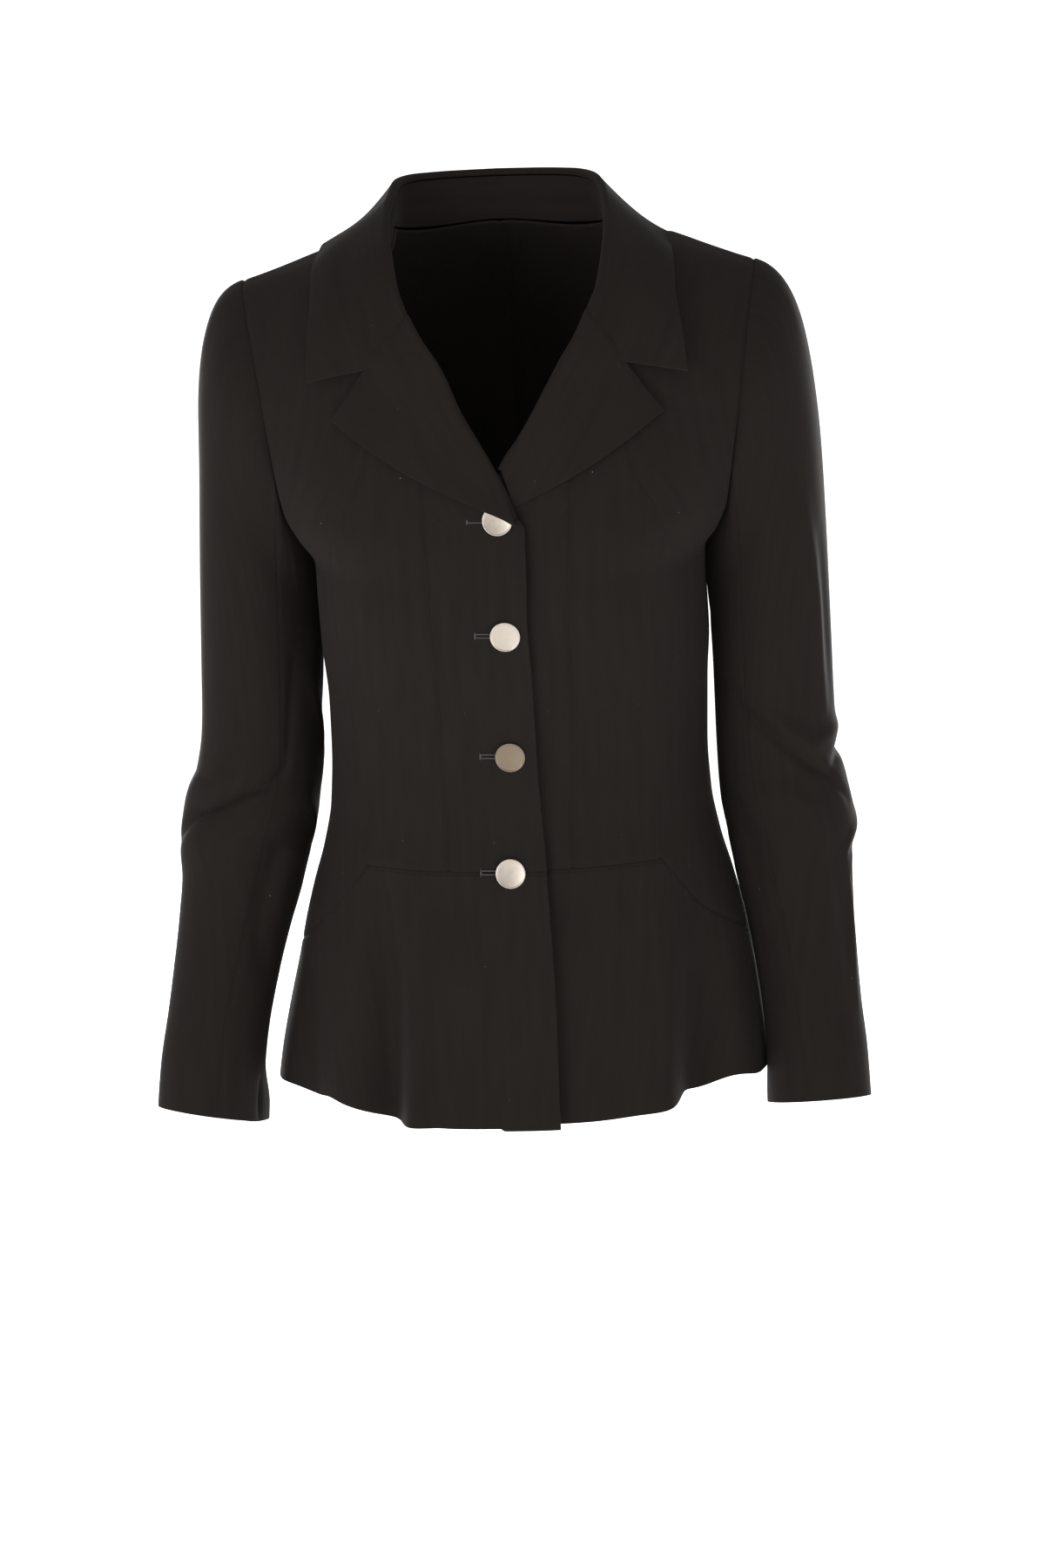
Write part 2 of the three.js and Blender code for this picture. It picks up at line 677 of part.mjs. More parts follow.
function collarFold(share) {
  const row = COLLAR(share);
  return new THREE.Vector3(row.foldX, row.foldY, row.foldZ);
}

// The centre that the cloth folds round, and the directions beyond the fold and out of the fall.
function collarFrame(share) {
  const row = COLLAR(share);
  const fold = collarFold(share);
  const middle = new THREE.Vector3(row.midX, row.midY, row.midZ);
  const run = collarFold(Math.min(share + 0.01, 1)).sub(collarFold(Math.max(share - 0.01, 0)));
  const beyond = fold.clone().sub(middle);
  const square = 1 - smooth(share, 0.86, 1);
  beyond.addScaledVector(run, (-square * beyond.dot(run)) / run.lengthSq()).normalize();
  const out = beyond.clone().cross(run).normalize();
  const centre = fold.clone().addScaledVector(beyond, -ROLL_RADIUS);
  return { row, middle, beyond, out, centre };
}

function onCollar(side, share, across, bend) {
  const { row, middle, beyond, out, centre } = collarFrame(share);
  const angle = lerp(-82, 90, Math.min(across / bend, 1)) * THREE.MathUtils.DEG2RAD;
  const start = centre.clone()
    .addScaledVector(beyond, ROLL_RADIUS * Math.cos(angle))
    .addScaledVector(out, ROLL_RADIUS * Math.sin(angle));
  const p = Math.max((across - bend) / (1 - bend), 0);
  const edge = new THREE.Vector3(row.edgeX, row.edgeY, row.edgeZ);
  const round = start.clone().multiplyScalar(2 * (p - 0.5) * (p - 1))
    .addScaledVector(middle, 4 * p * (1 - p))
    .addScaledVector(edge, 2 * p * (p - 0.5));
  const straight = p < 0.5
    ? start.clone().lerp(middle, 2 * p)
    : middle.clone().lerp(edge, 2 * p - 1);
  const point = round.lerp(straight, smooth(share, 0.86, 1));
  point.x *= side;
  return stance(point);
}

function collarFall() {
  const wrapped = 3;
  const flat = 6;
  const bend = wrapped / (wrapped + flat);
  const face = (u, v) => {
    const around = 2 * v - 1;
    return onCollar(Math.sign(around) || 1, Math.abs(around), u, bend);
  };
  return wall(face, evenly(wrapped + flat), evenly(28), -1);
}

function neckSeam(across) {
  return SHOULDER_SEAM - SEAM / 2 - NECK_DROP * Math.sqrt(1 - Math.min(across / NECK_HALF, 1) ** 2.2);
}

// The foot of the stand on the inner face of the neck edge.
function standFoot(share) {
  const behind = share < STAND_CORNER;
  const half = behind ? BACK : FRONT;
  const across = NECK_HALF * Math.sin((share / STAND_CORNER) * (Math.PI / 2));
  const down = (share - STAND_CORNER) / (STAND_END - STAND_CORNER);
  const height = behind ? neckSeam(across) : lerp(SHOULDER_SEAM, STAND_FOOT, down);
  const distance = distanceAt(half, height, behind ? across : frontEnd(height));
  const foot = along(half, height, distance);
  const edge = foot.z;
  foot.addScaledVector(outward(half, height, distance), -WALL);
  foot.z = edge + (behind ? 2 : 6) * SEAM;
  return foot;
}

function collarStand() {
  const face = (u, v) => {
    const around = (2 * v - 1) * STAND_END;
    const share = Math.abs(around);
    const side = Math.sign(around) || 1;
    const { beyond, out, centre } = collarFrame(share);
    const top = centre.clone().addScaledVector(out, -ROLL_RADIUS).addScaledVector(beyond, -SEAM);
    const point = standFoot(share).lerp(top, u);
    point.x *= side;
    return stance(point);
  };
  return wall(face, evenly(2), evenly(22), -1);
}

// Sleeves

// The armhole runs from the shoulder seam down the front, under the arm and up the back.
const armholeLevels = [...UPPER_LEVELS].reverse();
const armhole = [];
[FRONT, BACK].forEach((half) => {
  const ends = armholeLevels.map((height) => along(half, height, reach(half, height)));
  const lengths = [0];
  for (let i = 1; i < ends.length; i += 1) {
    lengths.push(lengths[i - 1] + ends[i].distanceTo(ends[i - 1]));
  }
  const whole = lengths[lengths.length - 1];
  armholeLevels.forEach((height, i) => {
    const turn = (0.5 * lengths[i]) / whole;
    armhole.push({ half, height, turn: half === FRONT ? turn : 1 - turn });
  });
});
const armholeFront = armhole.filter(({ half }) => half === FRONT);
const armholeBack = armhole.filter(({ half }) => half === BACK);
const turnFront = monotone(armholeFront.map(({ turn }) => turn), armholeFront.map(({ height }) => height));
const turnBack = monotone(
  [...armholeBack].reverse().map(({ turn }) => turn),
  [...armholeBack].reverse().map(({ height }) => height),
);
const SEAM_FRONT_TOP = armholeFront.find(({ height }) => height === -165).turn;
const SEAM_BACK_TOP = armholeBack.find(({ height }) => height === -135).turn;

function onArmhole(turn) {
  const around = turn - Math.floor(turn);
  const half = around <= 0.5 ? FRONT : BACK;
  const height = around <= 0.5 ? turnFront(around) : turnBack(around);
  return along(half, height, reach(half, height));
}

// How far along from the outside (0) to the inside of the arm (1) a turn lies.
function inside(turn) {
  return (1 - Math.cos(2 * Math.PI * turn)) / 2;
}

function lowerArm(z) {
  return smooth(-z, -ARM_SPREAD.from, -CUFF);
}

function armCentre(side, z) {
  const row = ARM(z);
  const spread = ARM_SPREAD.out * (side === ARM_SPREAD.side ? 1 : -1);
  return new THREE.Vector3(row.out + spread * lowerArm(z), row.y, z);
}

function creaseDepth(side, turn, z) {
  const girth = 270;
  const here = new THREE.Vector2((turn - Math.floor(turn + 0.5)) * girth, z);
  let depth = 0;
  CREASES.filter((crease) => crease.side === side).forEach((crease) => {
    const start = new THREE.Vector2(crease.turn * girth, crease.z);
    const end = new THREE.Vector2(crease.toTurn * girth, crease.toZ);
    const run = end.clone().sub(start);
    const share = here.clone().sub(start).dot(run) / run.lengthSq();
    const held = THREE.MathUtils.clamp(share, 0, 1);
    const miss = here.distanceTo(start.clone().addScaledVector(run, held));
    const swell = 0.35 + 0.65 * Math.sin(Math.PI * held);
    depth += crease.depth * swell * bell(miss, crease.wide);
  });
  return depth;
}

function onArm(side, turn, z) {
  const row = ARM(z);
  const centre = armCentre(side, z);
  const run = armCentre(side, z - 2).sub(armCentre(side, z + 2)).normalize();
  const lateral = new THREE.Vector3(1, 0, 0).addScaledVector(run, -run.x).normalize();
  const forward = run.clone().cross(lateral).normalize();
  if (forward.y > 0) forward.negate();
  const angle = 2 * Math.PI * turn;
  const fuller = side === ARM_SPREAD.side ? ARM_SPREAD.fuller * smooth(-z, 330, 400) : 0;
  const crease = creaseDepth(side, turn, z) + fuller;
  return centre
    .addScaledVector(lateral, (row.halfWide + crease) * Math.cos(angle))
    .addScaledVector(forward, (row.halfDeep + crease) * Math.sin(angle));
}

// The head of the sleeve leaves the armhole outward and turns down into the arm.
function onHead(side, turn, share) {
  const depth = inside(turn);
  const from = onArmhole(turn);
  const low = lerp(CAP.outer, CAP.inner, depth);
  const to = onArm(side, turn, low);
  const falling = onArm(side, turn, low - 1).sub(to).normalize();
  const angle = 2 * Math.PI * turn;
  const away = new THREE.Vector3(
    lerp(1, 0.35, depth),
    -0.25 * Math.sin(angle),
    lerp(-0.06, -1, depth),
  ).normalize();
  const reachOut = away.multiplyScalar(lerp(CAP.reach, CAP.innerReach, depth));
  falling.multiplyScalar(lerp(CAP.fall, CAP.innerFall, depth));
  const s = share;
  const point = from.multiplyScalar((1 + 2 * s) * (1 - s) ** 2)
    .addScaledVector(reachOut, s * (1 - s) ** 2)
    .addScaledVector(to, s * s * (3 - 2 * s))
    .addScaledVector(falling, s * s * (s - 1));
  return point;
}

const HEAD_SHARE = 0.2;
const HEAD_ROWS = [0.004, 0.12, 0.26, 0.42, 0.6, 0.8, 1];
const ARM_ROWS = [0.12, 0.24, 0.33, 0.4, 0.46, 0.51, 0.56, 0.61, 0.66, 0.72, 0.8, 0.9, 1];

function onSleeve(side, across, down, lowTurns, topTurns) {
  const head = Math.min(down / HEAD_SHARE, 1);
  const arm = Math.max((down - HEAD_SHARE) / (1 - HEAD_SHARE), 0);
  const topTurn = lerp(...topTurns, across);
  const low = lerp(CAP.outer, CAP.inner, inside(topTurn));
  if (head < 1) return onHead(side, topTurn, head);
  const z = lerp(low, CUFF, arm);
  const settle = smooth(-z, 264, -CUFF);
  const turn = lerp(topTurn, lerp(...lowTurns, across), settle);
  return onArm(side, turn, z);
}

function sleevePart(side, topTurns, lowTurns, columns, flare) {
  const gap = SEAM / 2 / 80;
  const face = (u, v) => {
    const across = lerp(gap, 1 - gap, u);
    const point = onSleeve(side, across, v, lowTurns, topTurns);
    const vent = smooth(-point.z, -CUFF - VENT.height, -CUFF) * smooth(u, 0.55, 1);
    point.x -= flare * vent;
    point.x *= side;
    return stance(point);
  };
  const rows = [
    ...HEAD_ROWS.map((share) => share * HEAD_SHARE),
    ...ARM_ROWS.map((share) => lerp(HEAD_SHARE, 1, share)),
  ];
  return wall(face, columns, rows, side);
}

// The columns of a sleeve part start at the corners of the armhole between its two seams.
function cornersBetween(start, end) {
  const turns = armhole.flatMap(({ turn }) => [turn, turn - 1]);
  const kept = turns.filter((turn) => turn > start + 1e-6 && turn < end - 1e-6).sort((a, b) => a - b);
  const single = kept.filter((turn, i) => i === 0 || turn - kept[i - 1] > 1e-6);
  return [0, ...single.map((turn) => (turn - start) / (end - start)), 1];
}

function topSleeve(side) {
  const top = [SEAM_BACK_TOP - 1, SEAM_FRONT_TOP];
  return sleevePart(side, top, [SEAM_BACK_LOW - 1, SEAM_FRONT_LOW], cornersBetween(...top), 0);
}

function underSleeve(side) {
  const top = [SEAM_FRONT_TOP, SEAM_BACK_TOP];
  const flare = side === SIDES.right ? VENT.flare.right : VENT.flare.left;
  return sleevePart(side, top, [SEAM_FRONT_LOW, SEAM_BACK_LOW], cornersBetween(...top), flare);
}

// Buttons: a bare disc with a thin rim on a shank, sewn to the left front through a buttonhole.
function buttonPlace(index) {
  const { across, height } = BUTTONS[index];
  const lift = overlapLift(SIDES.right, height, 0);
  const foot = onBody(SIDES.left, FRONT, height, across, 2 * SEAM);
  const seat = onBody(SIDES.left, FRONT, height, across, lift + 2 * SEAM);
  return { foot, seat, axis: seat.clone().sub(foot).normalize() };
}

function button(index) {
  const { foot, seat, axis } = buttonPlace(index);
  const stem = foot.distanceTo(seat);
  const { radius, thick, shank } = BUTTON;
  const profile = [
    [0, -stem], [shank, -stem], [shank, 0], [radius - 0.9, 0], [radius, 0.7], [radius, thick - 0.3],
    [radius - 0.3, thick], [radius - 0.9, thick], [radius - 1.1, thick - 0.35], [0, thick - 0.25],
  ].map(([x, y]) => new THREE.Vector2(x, y));
  const lathe = new THREE.LatheGeometry(profile, 24);
  lathe.deleteAttribute('normal');
  lathe.deleteAttribute('uv');
  const disc = mergeVertices(lathe, 1e-4);
  disc.applyQuaternion(new THREE.Quaternion().setFromUnitVectors(new THREE.Vector3(0, 1, 0), axis));
  disc.translate(...seat.toArray());
  return facingOut(disc);
}

function slot(index) {
  const { seat } = buttonPlace(index);
  const box = new THREE.BoxGeometry(BUTTONHOLE.long, BUTTONHOLE.deep, BUTTONHOLE.high);
  box.translate(seat.x + BUTTONHOLE.past - BUTTONHOLE.long / 2, seat.y, seat.z);
  return toSolid(box);
}

function withSlots(geometry, indexes) {
  let solid = toSolid(geometry);
  indexes.forEach((index) => {
    solid = solid.subtract(slot(index));
  });
  return toGeometry(solid);
}

// The jacket
const CREPE = new THREE.MeshStandardMaterial({ color: 0x1d1b19, roughness: 0.85, metalness: 0 });
const METAL = new THREE.MeshStandardMaterial({ color: 0xd8d3ca, roughness: 0.35, metalness: 0.9 });

const jacket = new THREE.Group();

function add(name, geometry, material = CREPE) {
  const mesh = new THREE.Mesh(geometry, material);
  mesh.name = name;
  jacket.add(mesh);
}

Object.entries(SIDES).forEach(([name, side]) => {
  const over = side === SIDES.right;
  const front = centreFront(side);
  const skirt = basque(side);
  add(`front_${name}`, over ? withSlots(front, [0, 1, 2, 3]) : front);
  add(`middle_front_${name}`, middleFront(side));
  add(`side_front_${name}`, sideFront(side));
  add(`basque_${name}`, over ? withSlots(skirt, [3]) : skirt);
  add(`back_${name}`, back(side));
  add(`lapel_${name}`, lapel(side));
  add(`sleeve_top_${name}`, topSleeve(side));
  add(`sleeve_under_${name}`, underSleeve(side));
});
add('collar', collarFall());
add('collar_stand', collarStand());
BUTTONS.forEach((_, i) => add(`button_${i + 1}`, button(i), METAL));

export default jacket;
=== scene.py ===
"""A fitted jacket of black crepe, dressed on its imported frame.

Sizes are in millimetres until a piece becomes a mesh, which is in metres.
"""

import math

import bmesh
import bpy
import numpy as np
from mathutils import Matrix, Vector


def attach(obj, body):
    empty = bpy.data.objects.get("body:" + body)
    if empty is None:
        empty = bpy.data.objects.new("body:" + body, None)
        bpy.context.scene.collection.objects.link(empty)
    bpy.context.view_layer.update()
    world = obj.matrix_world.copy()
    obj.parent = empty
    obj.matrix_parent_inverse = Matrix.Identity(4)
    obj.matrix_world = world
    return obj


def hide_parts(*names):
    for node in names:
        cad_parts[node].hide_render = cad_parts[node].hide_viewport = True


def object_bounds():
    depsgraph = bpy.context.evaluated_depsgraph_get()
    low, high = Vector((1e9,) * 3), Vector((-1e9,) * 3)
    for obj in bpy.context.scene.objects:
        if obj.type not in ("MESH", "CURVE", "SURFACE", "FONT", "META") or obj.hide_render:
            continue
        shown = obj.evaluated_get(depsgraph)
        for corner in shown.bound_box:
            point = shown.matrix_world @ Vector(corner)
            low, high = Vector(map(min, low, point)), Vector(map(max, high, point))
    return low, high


bl_info = {
    "name": "Fitted crepe jacket",
    "version": (1, 0, 0),
    "blender": (4, 5, 0),
    "location": "View3D > Sidebar > Jacket",
    "description": "Makes the cloth, buttons and stage of a fitted jacket round its frame",
    "category": "Object",
}

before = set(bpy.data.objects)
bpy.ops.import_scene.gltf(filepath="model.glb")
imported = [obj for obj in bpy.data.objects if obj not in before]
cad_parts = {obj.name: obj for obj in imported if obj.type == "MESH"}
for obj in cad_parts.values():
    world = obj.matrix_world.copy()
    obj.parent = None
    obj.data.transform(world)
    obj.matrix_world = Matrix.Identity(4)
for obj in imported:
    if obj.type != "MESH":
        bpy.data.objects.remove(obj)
FRAME_BOX = [list(corner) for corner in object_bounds()]
BODY = "root"

# ---------------------------------------------------------------- sizes of the cut, in mm

RIGHT, LEFT = -1, 1
SIDES = {"right": RIGHT, "left": LEFT}
SEAM = 0.3
# Sewn edges run this far past one another, so that no light shows between them.
GAP = -0.5
HEM = -608.0
WAIST_SEAM = -431.0
UNDERARM = -235.0
SHOULDER_SEAM = 0.0
NECK_HALF = 75.0
NECK_DROP = 25.0
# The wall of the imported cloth, which folds are rounded by.
WALL = 2.0
RIPPLE = 0.35
ROLL_RADIUS = WALL * 1.5 + SEAM
# The right front lies this far over the left one, and comes down between these distances.
OVERLAP_LIFT = WALL + SEAM + 0.5
OVERLAP_EASE = (33, 64)
# The right front stands off further where its lapel breaks.
BREAK = {"height": -176, "reach": 30, "rise": 2.3, "from": 6, "to": 60}
# Between these depths both fronts start to stand off further beside the middle.
BUTTONED = (186, 225)
FOLD_OVER = {"rise": 2.0, "across": (-8, 40), "edge": 5, "ease": 24}
EDGE_EASE = (-28, 16)
# How far the waist seam drops over the hip, and how it curves down.
HIP_ARC = {"drop": 72, "power": 1.7}
BUST = {"across": 82, "height": -232, "wide": 42, "tall": 60, "rise": 8}
# The slope by which the left side is carried higher, the lean of the top to the right, and the
# shift of the waist to the left.
TILT = math.tan(math.radians(0.9))
NECK_LEAN = {"across": 8, "from": -110, "to": 45}
SWAY = {"across": 2, "from": 240, "full": 300, "fade": 500, "end": 600}
HEM_RISE = {RIGHT: 7, LEFT: 9, "from": 35, "to": 150}
HEM_WIDTH = 178.0
# The waist seam is level up to this share of the basque and runs down over the hip beyond it.
WAIST_CORNER = 9 / 17
BASQUE_AT_HEM = (-34.0, 120.0)
# Above this height the rows of the side panel are level.
SIDE_FRONT_LEVEL = -262.0
# The buttons: distance to the left of the middle, and height. One is duller than the others.
BUTTON_PLACES = [(1, -188), (3.5, -262), (2.2, -349), (0.5, -432)]
DULL_BUTTON = 2
# A buttonhole runs past the middle of its button and ends in a bar on its other side.
BUTTONHOLE = {
    "long": 23.2, "past": 2.2, "bar": 5.5, "wide": 3.0, "ring": 1.3, "bulge": 0.9, "sink": 0.2,
}
# Above this height the fronts keep before the shoulder seam, and the backs behind it.
NEAR_SHOULDER = -60.0
SHOULDER_Y = 5.0
# Above this height the front ends beside its roll line, further out under the collar.
ROLL_START = -190.0
ROLL_PULL = ROLL_RADIUS * 1.2
COLLAR_PULL = ROLL_RADIUS * 1.6
PULL_AT = {"rise": 6, "collar": (-66, -48), "end": (-14, 0)}
# Above this height the rows of the back bend down to the neck seam.
NECK_ROWS = -100.0
# The front panel ends where it has narrowed to this.
NARROWEST = 2.0
# How often the search for a place on the curved front is repeated.
HALVINGS = 26
SETTLING = 12


def lerp(start, end, share):
    return start + (end - start) * share


def smooth(value, low, high):
    share = np.clip((value - low) / (high - low), 0, 1)
    return share * share * (3 - 2 * share)


def bell(distance, width):
    return np.exp(-((distance / width) ** 2))


def vector(*parts):
    return np.stack(np.broadcast_arrays(*[np.asarray(part, float) for part in parts]), axis=-1)


def unit(vectors):
    size = np.linalg.norm(vectors, axis=-1, keepdims=True)
    return vectors / np.maximum(size, 1e-9)


def dot(a, b):
    return np.sum(a * b, axis=-1)


class Table:
    """A table with named columns, read between its rows by cubics that never overshoot."""

    def __init__(self, names, rows):
        self.names = names
        rows = np.array(rows, float)
        self.keys = rows[:, 0]
        self.values = rows
        span = np.diff(self.keys)[:, None]
        slopes = np.diff(rows, axis=0) / span
        before, after = slopes[:-1], slopes[1:]
        total = before + after
        mean = np.where(before * after <= 0, 0, 2 * before * after / np.where(total == 0, 1, total))
        self.tangents = np.vstack([slopes[:1], mean, slopes[-1:]])

    def column(self, name, key):
        c = self.names.index(name)
        held = np.clip(key, self.keys[0], self.keys[-1])
        i = np.searchsorted(self.keys[1:-1], held, side="left")
        span = self.keys[i + 1] - self.keys[i]
        t = (held - self.keys[i]) / span
        rise = self.values[i + 1, c] - self.values[i, c]
        a = self.tangents[i, c] * span
        b = self.tangents[i + 1, c] * span
        return self.values[i, c] + t * (a + t * (3 * rise - 2 * a - b + t * (a + b - 2 * rise)))

    def row(self, key):
        return {name: self.column(name, key) for name in self.names}


FRONT_ROWS = Table(
    ["height", "middleY", "middleZ", "endX", "endY", "endZ", "flat", "turn"],
    [
        [HEM, -137, HEM, 179, 2, HEM, 2.15, 2.15],
        [-570, -130, -570, 173, 2, -570, 2.15, 2.15],
        [-530, -125, -530, 166, 2, -530, 2.15, 2.15],
        [-490, -119, -490, 157.5, 2, -490, 2.2, 2.2],
        [-460, -115, -460, 150, 2, -460, 2.2, 2.2],
        [-431, -111, -431, 141, 2, -431, 2.3, 2.3],
        [-400, -108, -400, 135, 2, -400, 2.3, 2.3],
        [-365, -108, -365, 133.5, 2, -365, 2.3, 2.3],
        [-320, -112, -320, 134, 1, -320, 2.4, 2.4],
        [-280, -118, -280, 136.3, 0, -278, 2.5, 2.5],
        [UNDERARM, -122, -235, 137, -2, -226, 2.6, 2.4],
        [-212, -122, -212, 146, -30, -207, 2.8, 1.8],
        [-190, -120, -186, 154, -47, -188, 3.2, 1.5],
        [-160, -116, -150, 158, -58, -161, 3.3, 1.3],
        [-119, -104, -82, 165, -60, -119, 2.4, 1.1],
        [-80, -88, -30, 169, -54, -90, 2.2, 1],
        [-50, -70, -12, 173, -40, -62, 2.2, 1],
        [-30, -50, 3, 176, -24, -46, 2, 1],
        [-12, -24, 14.5, 178.5, -9, -34.5, 1.6, 1],
        [SHOULDER_SEAM, 5, 21, 179, 5, -29.5, 1.6, 1],
    ],
)
BACK_ROWS = Table(
    ["height", "middleY", "middleZ", "endX", "endY", "endZ", "flat", "turn"],
    [
        [HEM, 124, HEM, 179, 2, HEM, 2.2, 2.2],
        [-570, 123, -570, 173, 2, -570, 2.2, 2.2],
        [-530, 119, -530, 166, 2, -530, 2.2, 2.2],
        [-490, 112, -490, 157.5, 2, -490, 2.2, 2.2],
        [-460, 105, -460, 150, 2, -460, 2.2, 2.2],
        [-431, 98, -431, 141, 2, -431, 2.2, 2.2],
        [-400, 92, -400, 135, 2, -400, 2.2, 2.2],
        [-365, 91, -365, 133.5, 2, -365, 2.2, 2.2],
        [-320, 97, -320, 134, 1, -320, 2.3, 2.3],
        [-280, 105, -280, 136.3, 0, -278, 2.3, 2.3],
        [UNDERARM, 110, -235, 137, -2, -226, 2.3, 2.3],
        [-212, 112, -214, 143, 22, -210, 2.6, 1.9],
        [-190, 114, -190, 150, 42, -190, 2.8, 1.6],
        [-160, 115, -157, 157, 60, -160, 2.8, 1.3],
        [-119, 112, -112, 165, 70, -119, 2.3, 1.1],
        [-80, 103, -66, 170, 64, -85, 2.1, 1],
        [-50, 87, -30, 174, 49, -58, 2, 1],
        [-30, 65, -5, 176.5, 33, -44, 1.9, 1],
        [-12, 35, 12.5, 178.5, 18, -33.5, 1.8, 1],
        [SHOULDER_SEAM, 5, 21, 179, 5, -29.5, 1.6, 1],
    ],
)
# Distances from the middle of the front: the free edge and the two shaping seams.
FRONT_LINES = Table(
    ["height", "edge", "princess", "sideFront"],
    [
        [HEM, -33.5, 43, 120],
        [-520, -29.5, 43, 112],
        [WAIST_SEAM, -24.5, 43, 103],
        [-348, -19.5, 45, 107],
        [-265, -18.5, 47, 117],
        [-225, -19.5, 47.5, 118],
        [-183, -18.5, 50, 108],
        [-152, -17, 50.5, 90],
        [-110, -17, 51, 80],
        [-60, -17, 51, 84],
        [SHOULDER_SEAM, -17, 51, 100],
    ],
)
# How far the free edge of the right front stands off the left one.
EDGE_STAND = Table(
    ["height", "lift"],
    [
        [HEM, 6], [-540, 6], [-460, 4.5], [-410, 3.4], [-300, 3.2], [-245, 3.8], [-222, 3.6],
        [-186, 0],
    ],
)
# How far the hem hangs below its even line: side, distance from the middle, half width, drop.
HEM_HANG = [
    (RIGHT, -38, 42, 4.6), (RIGHT, 68, 12, 2.5), (RIGHT, 132, 30, -7.5), (RIGHT, 190, 26, -3.4),
    (LEFT, -20, 55, -3.4), (LEFT, 130, 14, -5), (LEFT, 166, 24, -7.5),
]
# How far each side's roll line is carried to the left of an even neck.
NECK_SHIFT = Table(
    ["z", "right", "left"],
    [
        [-180, 0, 0], [-112, 0.3, 3], [-88, 3.5, 3], [-62, 6, 1.8], [-48, 7, 0.8], [-32, 6.2, 3.2],
        [-10, 7, 3], [8, 6.5, 2.4], [28, 6.5, 0.6], [40, 4, 0],
    ],
)
# Where that fades: beside the opening, at the middle and behind the shoulders.
NECK_REACH = {"beside": (2, 44), "middle": (0, 12), "behind": (5, 50)}
# A rise near the end of each shoulder, the higher left one, and the lean of the sleeve heads.
SHOULDER_RISE = {RIGHT: 1, LEFT: 6, "from": 106, "full": 124, "end": 170, "z": (-44, -12)}
LEFT_SHOULDER = {"rise": 3.5, "x": (125, 165), "fade": (185, 240), "z": (-70, -15)}
HEAD_LEAN = {"shift": 2.2, "z": -92, "reach": 45, "x": (150, 200)}
ROLL_LINE = Table(
    ["z", "across"],
    [
        [-186, -17], [-152, -1], [-116, 20], [-80, 41], [-60, 55.5], [-44, 63], [-32, 68],
        [-14, 72.5], [2, NECK_HALF],
    ],
)
# The outer edge of a lapel, from the break to the tip.
LAPEL_EDGE = Table(
    ["share", "across", "z"],
    [
        [0, -16, -190], [0.1, -6, -183], [0.3, 14, -174.5], [0.52, 49, -158], [0.76, 79, -140.5],
        [1, 111.5, -117.5],
    ],
)
# The two ends of the gorge seam, seen from the front.
GORGE = np.array([64.0, -48.0])
NOTCH = np.array([87.2, -81.7])
LAPEL_BREAK = -186.0
LAPEL_LIFT = 0.4
LAPEL_BEND = 0.22
# The first angle of the roll, at the break and from a little above it.
LAPEL_TUCK = {"angles": (35, -75), "up": (0, 0.3)}
LAPEL_ROUND = 90
# Toward its top the lapel's rows turn to run along the gorge seam.
LAPEL_TO_GORGE = (0.8, 1)
# How far the top lies from the gorge seam: below zero it is on the collar's side.
LAPEL_UNDER = {"depths": (-2.6, -0.4), "out": (0, 0.9), "up": (0.86, 1)}
# How far the middle and the edge of a lapel stand off the front.
LAPEL_PUFF = {"rise": 1.7, "fullest": 1.1}
LAPEL_EDGE_OFF = {"rise": 3.2, "out": (0.5, 1), "up": (0.1, 0.4)}
# Where each lapel starts along its roll line and along its edge.
LAPEL_START = {RIGHT: (0.03, 0.02), LEFT: (0.268, 0.277)}
# The right lapel rises over the top button.
OVER_BUTTON = {"rise": 5.6, "wide": 16}
COLLAR_BEND = 0.25
COLLAR_ANGLES = (-82, 90)
COLLAR_EDGE_OFF = {"rise": 4.5, "round": (0.5, 0.7), "out": (0.4, 1)}
# Toward the gorge the fall of the collar goes from round to straight.
COLLAR_SQUARE = (0.86, 1)

# Flutes of the basque: side, distance from the middle, half width, depth, height they start at.
FLUTES = [
    (RIGHT, 40, 45, 6, -460), (RIGHT, 66, 11, 11, -425), (RIGHT, 92, 15, -17, -425),
    (RIGHT, 125, 14, 5, -450), (RIGHT, 170, 22, -9, -470), (LEFT, 106, 14, 10, -425),
    (LEFT, 142, 19, -18, -430), (LEFT, 185, 20, 5, -470),
]
FLUTE_GROWTH = 0.85
BACK_FLUTES = [(0, 55, 26, 6, -440), (0, 105, 20, -6, -440)]

ARM = Table(
    ["z", "out", "y", "halfWide", "halfDeep"],
    [
        [-628, 219, -39, 36.6, 38],
        [-590, 216.8, -30, 36, 38],
        [-557, 213, -22, 35.2, 38.5],
        [-515, 207, -12, 36.6, 40],
        [-483, 202, -5, 39, 42],
        [-455, 197.5, 0, 42.3, 44.5],
        [-430, 195.3, 4, 45.5, 47],
        [-405, 189.8, 7, 45.3, 47],
        [-385, 186, 8, 43.6, 46.5],
        [-355, 183.5, 8, 42.4, 47],
        [-300, 182, 7, 42, 50],
        [UNDERARM, 181, 6, 41, 54],
        [-190, 180.5, 6, 39.8, 57],
        [-150, 180, 6, 38.5, 58],
    ],
)
CUFF = -621.0
# The right cuff hangs lower toward the body.
CUFF_HANG = {RIGHT: 1.8, LEFT: 0.0}
CUFF_SLANT = 2.3
# The width of a sleeve part, and the way round the whole arm.
SLEEVE_PART = 80
ARM_GIRTH = 270.0
# Toward the cuffs the right sleeve hangs further out and is fuller, and the left hangs in.
ARM_SPREAD = {"side": RIGHT, "out": 6.5, "from": 340, "fuller": 1.6, "fullerAt": (330, 400)}
# The share of a sleeve that is its head, and how far the head's edge lies under the body.
HEAD_SHARE = 0.2
HEAD_TUCK = {"in": 3.0, "under": 1.6}
